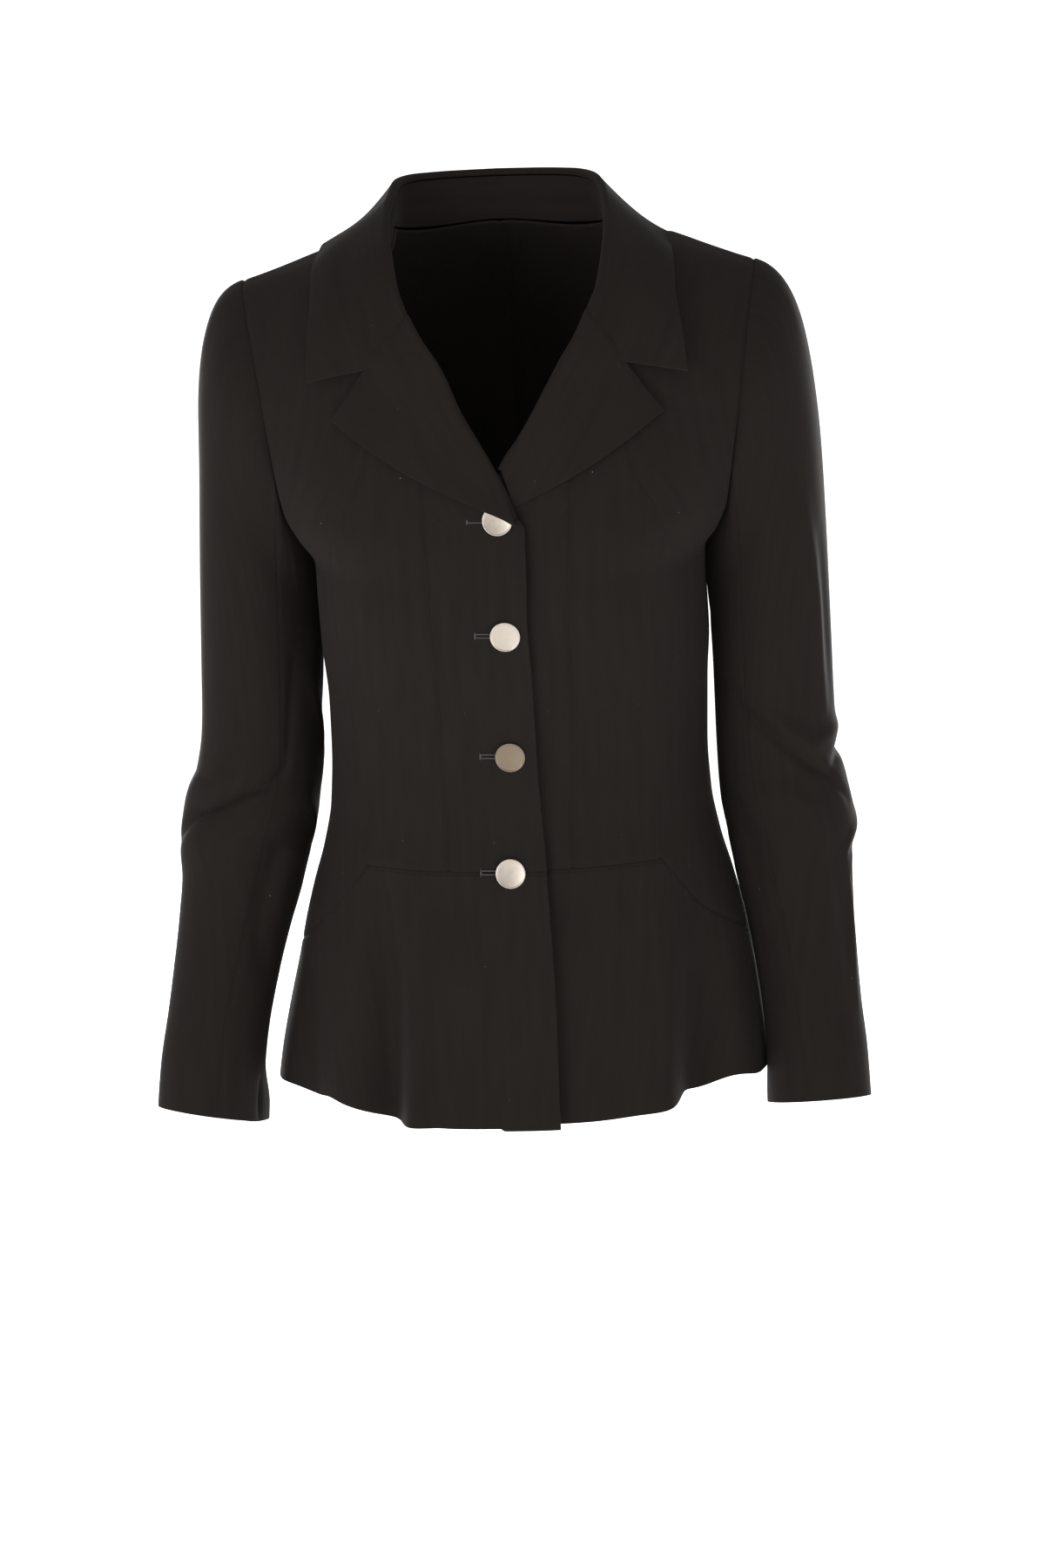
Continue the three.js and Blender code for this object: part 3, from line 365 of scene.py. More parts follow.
# The sleeve head: the heights where it ends outside and inside, and how strongly it leaves the
# armhole and falls into the arm there.
CAP = {
    "outer": -150, "inner": -264, "reach": 90, "fall": 230, "innerReach": 16, "innerFall": 34,
    "lean": 0.3, "spread": 0.25,
}
# The two seams of a sleeve: turns at the cuff, levels at the armhole, and the depth from which
# they turn toward the cuff.
SEAM_FRONT_LOW = 0.3
SEAM_BACK_LOW = 0.56
SEAM_FRONT_LEVEL = -165
SEAM_BACK_LEVEL = -135
TWIST_FROM = 264
# Above the cuff the under part turns in beside the back seam and leaves a slit.
VENT = {"height": 34, "right": 5, "left": 2, "from": 0.55}
# Creases of the sleeves: side, half width, depth, then the turn and z of each place on the path.
CREASES = [
    (RIGHT, 26, 3.4, [(0.5, -225), (0.5, -262), (0.5, -300), (0.5, -335)]),
    (LEFT, 24, 3.4, [(0.5, -205), (0.5, -240), (0.5, -274)]),
    (RIGHT, 3.2, -4.6, [(0.02, -436), (0.09, -424), (0.154, -413), (0.20, -400), (0.25, -388),
                        (0.3, -380), (0.345, -368)]),
    (RIGHT, 4, -2.2, [(0.32, -378), (0.345, -358), (0.355, -330), (0.37, -290)]),
    (RIGHT, 13, 2.6, [(-0.06, -424), (0.014, -412), (0.08, -399), (0.146, -388), (0.2, -378),
                      (0.26, -366), (0.31, -352)]),
    (RIGHT, 9, 1.2, [(0.0, -454), (0.1, -442), (0.2, -422), (0.3, -404), (0.36, -394)]),
    (RIGHT, 10, -4.2, [(0.47, -392), (0.43, -408), (0.362, -428), (0.338, -461), (0.35, -492),
                       (0.385, -515)]),
    (RIGHT, 6, 2.4, [(0.42, -305), (0.442, -323), (0.48, -348), (0.502, -370), (0.49, -388)]),
    (RIGHT, 6, 2.0, [(0.5, -420), (0.45, -398), (0.4, -390), (0.36, -392)]),
    (RIGHT, 12, -2.0, [(0.4, -250), (0.39, -285), (0.385, -320)]),
    (RIGHT, 2.6, -2.4, [(0.456, -596), (0.458, -608), (0.455, -624)]),
    (RIGHT, 7, -3.0, [(-0.25, -392), (-0.14, -404), (-0.06, -410)]),
    (RIGHT, 8, -3.0, [(-0.4, -372), (-0.3, -380), (-0.2, -398)]),
    (RIGHT, 8, 2.0, [(-0.3, -410), (-0.16, -422), (-0.06, -430)]),
    (LEFT, 3.6, -3.8, [(0.36, -331), (0.3, -344), (0.262, -353), (0.206, -368), (0.154, -384),
                       (0.1, -405), (0.05, -420)]),
    (LEFT, 8, -2, [(0.44, -312), (0.38, -326), (0.3, -344)]),
    (LEFT, 7, 2.8, [(0.3, -332), (0.24, -346), (0.19, -358), (0.14, -374), (0.09, -394)]),
    (LEFT, 7, -3.6, [(-0.2, -372), (-0.06, -376), (0.03, -381), (0.09, -392)]),
    (LEFT, 7, 2.4, [(-0.05, -360), (0.05, -362), (0.14, -366), (0.22, -352)]),
    (LEFT, 4.5, 2.4, [(-0.06, -424), (0.0, -432), (0.06, -440), (0.086, -450), (0.074, -463),
                      (0.056, -480), (0.056, -504), (0.064, -528), (0.066, -560)]),
    (LEFT, 6, -2.6, [(-0.02, -446), (0.03, -452), (0.035, -470), (0.02, -500)]),
    (LEFT, 6, -1.6, [(0.14, -436), (0.13, -462), (0.11, -490), (0.11, -530)]),
    (LEFT, 4.5, 2.2, [(0.13, -187), (0.126, -207), (0.112, -235), (0.102, -264), (0.1, -308),
                      (0.09, -344)]),
    (LEFT, 5, -1.4, [(0.075, -215), (0.062, -264), (0.056, -308), (0.05, -338)]),
    (LEFT, 10, -2.4, [(0.44, -380), (0.4, -402), (0.37, -432), (0.36, -470)]),
    (LEFT, 10, 2.0, [(0.3, -392), (0.22, -410), (0.14, -424)]),
    (LEFT, 8, -3.0, [(-0.4, -366), (-0.3, -374), (-0.2, -390), (-0.12, -412)]),
]

# A crease swells and dies away along its path like this part of a half turn's sine.
CREASE_SWELL = {"part": (0.08, 0.92), "power": 0.8}

# The collar from the middle of the back to the gorge: its fold, the middle and edge of its fall.
COLLAR = Table(
    ["share", "foldX", "foldY", "foldZ", "midX", "midY", "midZ", "edgeX", "edgeY", "edgeZ"],
    [
        [0, 0, 66, 35, 0, 79, 12, 0, 86, -18],
        [0.12, 30, 61, 35, 36, 73, 12, 40, 79, -19],
        [0.24, 53, 48, 35, 67, 58, 12, 77, 62, -18],
        [0.36, 67, 29, 33.5, 89, 35, 12, 108, 34, -11],
        [0.48, 74, 8, 26, 96, 10, 9, 121, 10, -7],
        [0.6, 76, -14, 14.5, 99, -16, 3, 123, -22, -16],
        [0.72, 75.5, -35, 1, 99, -44, -12, 124.5, -46, -30],
        [0.82, 73, -53, -15, 96, -66, -29, 126, -65, -50],
        [0.91, 69, -71, -31.5, 92, -83, -56, 128, -77, -72],
        [1, 64, -84.4, -48, 87.2, -94.6, -81.7, 129, -84, -93],
    ],
)
# The stand, in shares of the collar: where its foot passes the shoulder seam and where it ends.
STAND_CORNER = 0.46
STAND_END = 0.7
STAND_FOOT = -18.0
# How far the foot lies above the edge that it is sewn to.
STAND_CLEAR = {"back": 2 * SEAM, "front": 6 * SEAM}
# Levels of the armhole between which its turns are counted.
UPPER_LEVELS = [
    UNDERARM, -222, -208, -190, -182, SEAM_FRONT_LEVEL, SEAM_BACK_LEVEL, -105, -78, -54, -32, -13,
    SHOULDER_SEAM,
]


# ---------------------------------------------------------------- the worn form


def rounded(share):
    soft = 0.15
    return (np.hypot(share, soft) - soft) / (np.hypot(1, soft) - soft)


class Half:
    """The front or back of the body as points over height and share of each row's length."""

    STEPS = 256
    SPACING = 0.5

    def __init__(self, rows, front):
        self.front = front
        self.heights = np.arange(HEM, self.SPACING / 2, self.SPACING)
        turn = np.linspace(0, 1, self.STEPS + 1)
        share = np.sin(turn * math.pi / 2)[None, :]
        row = {name: value[:, None] for name, value in rows.row(self.heights).items()}
        turned = 1 - (1 - np.minimum(share, 1) ** row["flat"]) ** (1 / row["turn"])
        x = row["endX"] * share
        y = lerp(row["middleY"], row["endY"], turned)
        z = lerp(row["middleZ"], row["endZ"], rounded(share))
        if front:
            y = y - BUST["rise"] * bell(x - BUST["across"], BUST["wide"]) * bell(
                z - BUST["height"], BUST["tall"]
            )
        points = np.stack([x, y, z], axis=-1)
        steps = np.linalg.norm(np.diff(points, axis=1), axis=-1)
        lengths = np.hstack([np.zeros((len(points), 1)), np.cumsum(steps, axis=1)])
        self.lengths = lengths[:, -1]
        self.points = np.empty_like(points)
        self.across = np.empty(lengths.shape)
        even = np.linspace(0, 1, self.STEPS + 1)
        for i, length in enumerate(lengths):
            for axis in range(3):
                self.points[i, :, axis] = np.interp(even * length[-1], length, points[i, :, axis])
            self.across[i] = np.interp(even * points[i, -1, 0], points[i, :, 0], length)
        self.widths = points[:, -1, 0]

    def _place(self, height):
        place = np.clip((height - HEM) / self.SPACING, 0, len(self.heights) - 1.000001)
        i = place.astype(int)
        return i, place - i

    def reach(self, height):
        i, t = self._place(np.asarray(height, float))
        return lerp(self.lengths[i], self.lengths[i + 1], t)

    def _read(self, grid, height, share):
        i, t = self._place(height)
        place = np.clip(share, 0, 1) * self.STEPS
        j = np.minimum(place.astype(int), self.STEPS - 1)
        s = place - j
        if grid.ndim == 3:
            t, s = t[..., None], s[..., None]
        low = lerp(grid[i, j], grid[i, j + 1], s)
        high = lerp(grid[i + 1, j], grid[i + 1, j + 1], s)
        return lerp(low, high, t)

    def along(self, height, distance):
        """The point at a distance from the middle; one below zero lies across the middle."""
        height, distance = np.broadcast_arrays(
            np.asarray(height, float), np.asarray(distance, float)
        )
        point = self._read(self.points, height, np.abs(distance) / self.reach(height))
        point[..., 0] *= np.where(distance < 0, -1, 1)
        return point

    def distance_at(self, height, across):
        height, across = np.broadcast_arrays(np.asarray(height, float), np.asarray(across, float))
        i, t = self._place(height)
        width = lerp(self.widths[i], self.widths[i + 1], t)
        return np.sign(across) * self._read(self.across, height, np.abs(across) / width)

    def outward(self, height, distance):
        step = 0.5
        reach = self.reach(height)
        far = np.minimum(distance, reach - 2 * step)
        across = self.along(height, far + step) - self.along(height, far - step)
        low = np.maximum(height - step, HEM)
        high = np.minimum(low + 2 * step, SHOULDER_SEAM)
        share = far / reach
        top = self.along(high, share * self.reach(high))
        below = high - 2 * step
        up = top - self.along(below, share * self.reach(below))
        normal = unit(np.cross(across, up))
        return normal if self.front else -normal


FRONT = Half(FRONT_ROWS, True)
BACK = Half(BACK_ROWS, False)


def row_through(across, z):
    """The height of the front row that passes through a place seen from the front."""
    across, z = np.broadcast_arrays(np.asarray(across, float), np.asarray(z, float))
    low = np.full(across.shape, HEM)
    high = np.full(across.shape, SHOULDER_SEAM)
    for _ in range(HALVINGS):
        middle = (low + high) / 2
        below = FRONT.along(middle, FRONT.distance_at(middle, across))[..., 2] < z
        low = np.where(below, middle, low)
        high = np.where(below, high, middle)
    return (low + high) / 2


def flute_depth(side, half, height, distance):
    """How far the flutes, which deepen toward the hem, lift the cloth."""
    depth = 0.0
    for which, around, wide, deep, start in FLUTES if half.front else BACK_FLUTES:
        if which in (side, 0):
            fullness = np.clip((start - height) / (start - HEM), 0, 1)
            depth = depth + deep * fullness**FLUTE_GROWTH * bell(distance - around, wide)
    return depth


def neck_shift(point):
    """How far the roll lines and the collar's fold lie to the left of an even neck."""
    x, y, z = point[..., 0], point[..., 1], point[..., 2]
    opening = np.where(z > 0, NECK_HALF, ROLL_LINE.column("across", z))
    near = 1 - smooth(np.abs(x) - opening, *NECK_REACH["beside"])
    amount = np.where(x < 0, NECK_SHIFT.column("right", z), NECK_SHIFT.column("left", z))
    amount = amount * smooth(np.abs(x), *NECK_REACH["middle"])
    return amount * near * (1 - smooth(y, *NECK_REACH["behind"]))


def stance(point):
    """Puts a point where the jacket is worn: left side higher, top leant to the right."""
    point[..., 0] += neck_shift(point)
    x, z = point[..., 0].copy(), point[..., 2].copy()
    outer = smooth(np.abs(x), *HEAD_LEAN["x"])
    point[..., 0] -= HEAD_LEAN["shift"] * outer * bell(z - HEAD_LEAN["z"], HEAD_LEAN["reach"])
    left = smooth(x, *LEFT_SHOULDER["x"]) * (1 - smooth(x, *LEFT_SHOULDER["fade"]))
    point[..., 2] += LEFT_SHOULDER["rise"] * left * smooth(z, *LEFT_SHOULDER["z"])
    point[..., 2] += point[..., 0] * TILT
    point[..., 0] -= neck_lean(point[..., 2])
    return point


def neck_lean(z):
    return NECK_LEAN["across"] * smooth(z, NECK_LEAN["from"], NECK_LEAN["to"])


def sway(z):
    swayed = smooth(-z, SWAY["from"], SWAY["full"]) - smooth(-z, SWAY["fade"], SWAY["end"])
    return SWAY["across"] * swayed


def ripple(point):
    """The slight unevenness of pressed cloth."""
    x, y, z = point[..., 0], point[..., 1], point[..., 2]
    waves = np.sin(x / 13.0 + 1.3 * np.sin(z / 31.0) + 0.7) * np.sin(z / 17.0 + x / 41.0)
    waves = waves + 0.8 * np.sin(y / 11.0 - z / 23.0 + 2.1) * np.sin(z / 37.0 + x / 19.0 + 0.4)
    return RIPPLE * waves


def on_body(side, half, height, distance, lift=0.0):
    """A point of the worn jacket, by its row and its distance from the middle."""
    height, distance = np.broadcast_arrays(np.asarray(height, float), np.asarray(distance, float))
    point = half.along(height, distance)
    rise = lift + flute_depth(side, half, height, distance) + ripple(point)
    point = point + half.outward(height, distance) * np.asarray(rise)[..., None]
    x, z = point[..., 0], point[..., 2]
    bank = smooth(x, SHOULDER_RISE["from"], SHOULDER_RISE["full"])
    bank = bank * (1 - smooth(x, SHOULDER_RISE["full"], SHOULDER_RISE["end"]))
    point[..., 2] += SHOULDER_RISE[side] * bank * smooth(z, *SHOULDER_RISE["z"])
    point[..., 0] *= side
    point[..., 0] += sway(point[..., 2])
    return stance(point)


def near_line(x, y, start, end):
    """How far a place misses a line, and how far along the line it lies."""
    run = np.subtract(end, start).astype(float)
    share = ((x - start[0]) * run[0] + (y - start[1]) * run[1]) / np.dot(run, run)
    held = np.clip(share, 0, 1)
    return np.hypot(x - start[0] - run[0] * held, y - start[1] - run[1] * held), held


# ---------------------------------------------------------------- pieces of the body


def overlap_lift(side, height, across):
    """How far each front stands off the body's form where the fronts lap over each other."""
    fold = FOLD_OVER["rise"] * smooth(-height, *BUTTONED)
    if side == LEFT:
        edge = -FRONT_LINES.column("edge", height) - FOLD_OVER["edge"]
        return fold * (1 - smooth(across, edge, edge + FOLD_OVER["ease"]))
    over = OVERLAP_LIFT * (1 - smooth(across, *OVERLAP_EASE))
    over = over + fold * (1 - smooth(across, *FOLD_OVER["across"]))
    over = over + EDGE_STAND.column("lift", height) * (1 - smooth(across, *EDGE_EASE))
    broken = BREAK["rise"] * (1 - smooth(across, BREAK["from"], BREAK["to"]))
    return over + broken * bell(height - BREAK["height"], BREAK["reach"])


def front_end(height):
    """Where the front ends beside the middle: its free edge, and higher up its roll line."""
    height = np.asarray(height, float)
    edge = FRONT_LINES.column("edge", height)
    across = edge
    for _ in range(SETTLING):
        across = ROLL_LINE.column(
            "across", FRONT.along(height, FRONT.distance_at(height, across))[..., 2]
        )
    z = FRONT.along(height, FRONT.distance_at(height, across))[..., 2]
    pull = lerp(ROLL_PULL, COLLAR_PULL, smooth(z, *PULL_AT["collar"]))
    pull = pull * smooth(height, ROLL_START, ROLL_START + PULL_AT["rise"])
    pull = pull * (1 - smooth(z, *PULL_AT["end"]))
    return np.where(height < ROLL_START, edge, np.maximum(edge, across + pull))


def princess_top():
    """The height at which the roll line has cut the front panel down to nothing."""
    step = 0.5
    heights = np.arange(ROLL_START, SHOULDER_SEAM, step)
    wide = front_end(heights) < FRONT_LINES.column("princess", heights) - NARROWEST
    return heights[np.argmin(wide)] - step


def front_panel(side, start_line, end_line, low, high):
    """A panel of the front between two lines and two heights."""

    def face(u, v):
        height = lerp(low, high, v)
        start = FRONT.distance_at(height, start_line(height)) + GAP / 2
        end = FRONT.distance_at(height, end_line(height)) - GAP / 2
        distance = lerp(start, end, u)
        return on_body(side, FRONT, height, distance, overlap_lift(side, height, distance))

    return face


def princess(height):
    return FRONT_LINES.column("princess", height)


def side_front_line(height):
    return FRONT_LINES.column("sideFront", height)


def before_shoulder(face):
    """Keeps a piece of the front before the shoulder seam."""

    def kept(u, v):
        point = face(u, v)
        near = point[..., 2] > NEAR_SHOULDER
        point[..., 1] = np.where(
            near, np.minimum(point[..., 1], SHOULDER_Y - GAP / 2), point[..., 1]
        )
        return point

    return kept


def across_side(share, height):
    start = FRONT.distance_at(height, side_front_line(height))
    return lerp(start + GAP / 2, FRONT.reach(height) - GAP / 2, share)


def hip_drop(share):
    return HIP_ARC["drop"] * (1 - (1 - share) ** HIP_ARC["power"])


def side_front_face(side):
    """The side panel, whose rows bend down over the hip at its foot and are level higher up."""
    span = SHOULDER_SEAM - GAP / 2 - WAIST_SEAM
    settled_at = (SIDE_FRONT_LEVEL - WAIST_SEAM) / (SHOULDER_SEAM - WAIST_SEAM)

    def face(u, v):
        settled = np.minimum(v / settled_at, 1)
        height = WAIST_SEAM + GAP / 2 + span * v - hip_drop(u) * (1 - settled)
        height = np.minimum(height, SHOULDER_SEAM - GAP / 2)
        return on_body(side, FRONT, height, across_side(u, height))

    return before_shoulder(face)


def hem_at(side, across):
    return HEM + HEM_RISE[side] * smooth(across, HEM_RISE["from"], HEM_RISE["to"])


def hem_hang(side, distance):
    drop = 0.0
    for which, around, wide, deep in HEM_HANG:
        if which == side:
            drop = drop + deep * bell(distance - around, wide)
    return drop


def basque_face(side):
    """Half of the front of the basque, from the free edge to the side."""
    corner = WAIST_CORNER

    def face(u, v):
        share = np.maximum((u - corner) / (1 - corner), 0)
        top = WAIST_SEAM - GAP / 2 - hip_drop(share)
        along = np.where(
            u < corner,
            lerp(*BASQUE_AT_HEM, u / corner),
            lerp(BASQUE_AT_HEM[1], FRONT.reach(HEM), share),
        )
        low = hem_at(side, u * HEM_WIDTH) - hem_hang(side, along)
        height = lerp(low, top, v)
        start = FRONT.distance_at(height, FRONT_LINES.column("edge", height))
        bend = FRONT.distance_at(height, side_front_line(height))
        distance = np.where(
            u < corner, lerp(start, bend, u / corner), across_side(share, height)
        )
        return on_body(side, FRONT, height, distance, overlap_lift(side, height, distance))

    return face


def neck_seam(across):
    share = np.minimum(np.abs(across) / NECK_HALF, 1)
    return SHOULDER_SEAM - GAP / 2 - NECK_DROP * np.sqrt(1 - share**2.2)


def middle_at(z):
    return sway(z) - neck_lean(z)


def back_face(side):
    """Half of the back, whose rows near the neck bend down to the neck seam."""
    neck_share = NECK_HALF / FRONT_ROWS.column("endX", 0.0)

    def face(u, v):
        top = neck_seam((u / neck_share) * NECK_HALF)
        even = lerp(hem_at(side, u * HEM_WIDTH), SHOULDER_SEAM, v)
        near_neck = np.maximum(even - NECK_ROWS, 0) / (SHOULDER_SEAM - NECK_ROWS)
        height = even + (top - SHOULDER_SEAM) * near_neck
        distance = lerp(GAP / 2, BACK.reach(height) - GAP / 2, u)
        point = on_body(side, BACK, height, distance)
        z = point[..., 2]
        near = z > NEAR_SHOULDER
        point[..., 1] = np.where(
            near, np.maximum(point[..., 1], SHOULDER_Y + GAP / 2), point[..., 1]
        )
        return point

    return face


# ---------------------------------------------------------------- lapels and collar

# The share between the places that a direction is measured between.
NEXT = 0.01
ALONG_GORGE = (NOTCH - GORGE) / np.linalg.norm(NOTCH - GORGE)
BESIDE_GORGE = np.array([NOTCH[1] - GORGE[1], GORGE[0] - NOTCH[0]])
BESIDE_GORGE = BESIDE_GORGE / np.linalg.norm(BESIDE_GORGE)


def lapel_roll(share):
    z = lerp(LAPEL_BREAK, GORGE[1], share)
    return vector(ROLL_LINE.column("across", z), z)


def across_roll(share):
    run = lapel_roll(np.minimum(share + NEXT, 1)) - lapel_roll(np.maximum(share - NEXT, 0))
    return unit(vector(-run[..., 1], run[..., 0]))


def over_button(side, place):
    if side == LEFT:
        return 0.0
    across, height = BUTTON_PLACES[0]
    miss = np.hypot(place[..., 0] + across, place[..., 1] - height)
    return OVER_BUTTON["rise"] * bell(miss, OVER_BUTTON["wide"])


def lapel_face(side):
    """A lapel, which rolls over beside the neck and lies on the front down to its edge."""
    bend = LAPEL_BEND
    roll_start, edge_start = LAPEL_START[side]

    def face(u, v):
        share = lerp(roll_start, 1, v)
        along_edge = lerp(edge_start, 1, v)
        edge = vector(LAPEL_EDGE.column("across", along_edge), LAPEL_EDGE.column("z", along_edge))
        tucked = lerp(*LAPEL_TUCK["angles"], smooth(v, *LAPEL_TUCK["up"]))
        angle = np.radians(lerp(tucked, LAPEL_ROUND, np.minimum(u / bend, 1)))
        out = np.maximum((u - bend) / (1 - bend), 0)
        pulled = ROLL_RADIUS * (1 - np.cos(angle))
        turn = smooth(v, *LAPEL_TO_GORGE)[..., None]
        beside = unit(lerp(-across_roll(share), ALONG_GORGE, turn))
        place = lapel_roll(share) + beside * pulled[..., None]
        place = lerp(place, edge, out[..., None])
        under = lerp(*LAPEL_UNDER["depths"], smooth(out, *LAPEL_UNDER["out"]))
        under = under * smooth(v, *LAPEL_UNDER["up"])
        place = place + BESIDE_GORGE * under[..., None]
        height = row_through(np.abs(place[..., 0]), place[..., 1])
        distance = FRONT.distance_at(height, place[..., 0])
        full = np.minimum(out * LAPEL_PUFF["fullest"], 1)
        puff = LAPEL_PUFF["rise"] * np.sin(math.pi * full) * share
        off = smooth(out, *LAPEL_EDGE_OFF["out"]) * smooth(v, *LAPEL_EDGE_OFF["up"])
        puff = puff + LAPEL_EDGE_OFF["rise"] * off
        roll = ROLL_RADIUS * np.sin(angle) - WALL / 2 + LAPEL_LIFT
        over = overlap_lift(side, height, place[..., 0])
        over = over + over_button(side, place) * smooth(u, 0, bend)
        return on_body(side, FRONT, height, distance, roll + puff + over)

    return face


def collar_frame(share):
    """The centre that the collar folds round, and the directions beyond its fold and out."""
    row = COLLAR.row(share)
    fold = vector(row["foldX"], row["foldY"], row["foldZ"])
    middle = vector(row["midX"], row["midY"], row["midZ"])
    edge = vector(row["edgeX"], row["edgeY"], row["edgeZ"])
    ahead = COLLAR.row(np.minimum(share + NEXT, 1))
    behind = COLLAR.row(np.maximum(share - NEXT, 0))
    run = vector(*[ahead[name] - behind[name] for name in ("foldX", "foldY", "foldZ")])
    beyond = fold - middle
    square = 1 - smooth(share, *COLLAR_SQUARE)
    part = -square * dot(beyond, run) / dot(run, run)
    beyond = unit(beyond + run * part[..., None])
    out = unit(np.cross(beyond, run))
    centre = fold - beyond * ROLL_RADIUS
    return middle, edge, beyond, out, centre


def on_collar(side, share, across):
    """A point of the collar, by its share of the way round and across the cloth."""
    bend = COLLAR_BEND
    middle, edge, beyond, out, centre = collar_frame(share)
    angle = np.radians(lerp(*COLLAR_ANGLES, np.minimum(across / bend, 1)))[..., None]
    start = centre + beyond * ROLL_RADIUS * np.cos(angle) + out * ROLL_RADIUS * np.sin(angle)
    p = np.maximum((across - bend) / (1 - bend), 0)[..., None]
    round_fall = (
        start * 2 * (p - 0.5) * (p - 1) + middle * 4 * p * (1 - p) + edge * 2 * p * (p - 0.5)
    )
    straight = np.where(
        p < 0.5, lerp(start, middle, 2 * p), lerp(middle, edge, 2 * p - 1)
    )
    point = lerp(round_fall, straight, smooth(share, *COLLAR_SQUARE)[..., None])
    off = COLLAR_EDGE_OFF["rise"] * smooth(share, *COLLAR_EDGE_OFF["round"])
    point = point + out * off[..., None] * smooth(p, *COLLAR_EDGE_OFF["out"])
    point[..., 0] *= side
    return stance(point)


def collar_face(u, v):
    around = 2 * v - 1
    return on_collar(np.where(around < 0, RIGHT, LEFT), np.abs(around), u)


def stand_foot(share):
    """The foot of the stand, inside the neck seam behind and the roll line before."""
    across = NECK_HALF * np.sin(np.minimum(share / STAND_CORNER, 1) * math.pi / 2)
    down = np.clip((share - STAND_CORNER) / (STAND_END - STAND_CORNER), 0, 1)
    behind = share < STAND_CORNER
    feet = []
    for half in (BACK, FRONT):
        height = neck_seam(across) if half is BACK else lerp(SHOULDER_SEAM, STAND_FOOT, down)
        reach = across if half is BACK else front_end(height)
        distance = half.distance_at(height, reach)
        foot = half.along(height, distance)
        edge = foot[..., 2].copy()
        foot = foot - half.outward(height, distance) * WALL
        foot[..., 2] = edge + STAND_CLEAR["front" if half.front else "back"]
        feet.append(foot)
    return np.where(behind[..., None], feet[0], feet[1])


def stand_face(u, v):
    around = (2 * v - 1) * STAND_END
    share = np.abs(around)
    _, _, beyond, out, centre = collar_frame(share)
    top = centre - out * ROLL_RADIUS - beyond * SEAM
    point = lerp(stand_foot(share), top, u[..., None])
    point[..., 0] *= np.where(around < 0, -1, 1)
    return stance(point)


# ---------------------------------------------------------------- sleeves


def armhole_turns(half):
    """The share of a whole turn at each level of the armhole, by the length of its edge."""
    levels = np.array(UPPER_LEVELS[::-1], float)
    ends = half.along(levels, half.reach(levels))
    lengths = np.concatenate([[0], np.cumsum(np.linalg.norm(np.diff(ends, axis=0), axis=1))])
    return levels, 0.5 * lengths / lengths[-1]


LEVELS_DOWN, TURNS_FRONT = armhole_turns(FRONT)
_, TURNS_BACK = armhole_turns(BACK)
TURN_FRONT = Table(["turn", "height"], np.column_stack([TURNS_FRONT, LEVELS_DOWN]))
TURN_BACK = Table(["turn", "height"], np.column_stack([1 - TURNS_BACK, LEVELS_DOWN])[::-1])
SEAM_FRONT_TOP = float(TURNS_FRONT[list(LEVELS_DOWN).index(SEAM_FRONT_LEVEL)])
SEAM_BACK_TOP = float(1 - TURNS_BACK[list(LEVELS_DOWN).index(SEAM_BACK_LEVEL)])


def on_armhole(turn, tucked=0.0):
    """A point of the armhole's edge, or tucked in from it and under the cloth of the body."""
    around = turn - np.floor(turn)
    edges = []
    for half, table in ((FRONT, TURN_FRONT), (BACK, TURN_BACK)):
        height = table.column("height", around)
        distance = half.reach(height) - tucked * HEAD_TUCK["in"]
        under = half.outward(height, distance) * (tucked * HEAD_TUCK["under"])
        edges.append(half.along(height, distance) - under)
    return np.where((around <= 0.5)[..., None], *edges)


def inside(turn):
    """0 at the top of the armhole and 1 below the arm."""
    return (1 - np.cos(2 * math.pi * turn)) / 2


def arm_centre(side, z):
    spread = ARM_SPREAD["out"] * (1 if side == ARM_SPREAD["side"] else -1)
    out = ARM.column("out", z) + spread * smooth(-z, ARM_SPREAD["from"], -CUFF)
    return vector(out, ARM.column("y", z), z)


def near_path(x, y, path):
    """How far a place misses a path of several points, and how far along the path it lies."""
    path = np.array(path, float)
    lengths = np.linalg.norm(np.diff(path, axis=0), axis=1)
    whole = lengths.sum()
    miss = np.full(np.shape(x), 1e9)
    held = np.zeros(np.shape(x))
    before = 0.0
    for start, end, length in zip(path[:-1], path[1:], lengths):
        far, share = near_line(x, y, start, end)
        nearer = far < miss
        miss = np.where(nearer, far, miss)
        held = np.where(nearer, (before + share * length) / whole, held)
        before += length
    return miss, held


def crease_depth(side, turn, z):
    """How far the creases and bulges of a sleeve lift the cloth."""
    turn, z = np.broadcast_arrays(np.asarray(turn, float), np.asarray(z, float))
    around = (turn - np.floor(turn + 0.5)) * ARM_GIRTH
    depth = 0.0
    for which, wide, deep, path in CREASES:
        if which == side:
            places = [(at * ARM_GIRTH, height) for at, height in path]
            for whole_turn in (0, ARM_GIRTH):
                miss, held = near_path(around + whole_turn, z, places)
                swell = np.sin(math.pi * lerp(*CREASE_SWELL["part"], held)) ** CREASE_SWELL["power"]
                depth = depth + deep * swell * bell(miss, wide)
    return depth


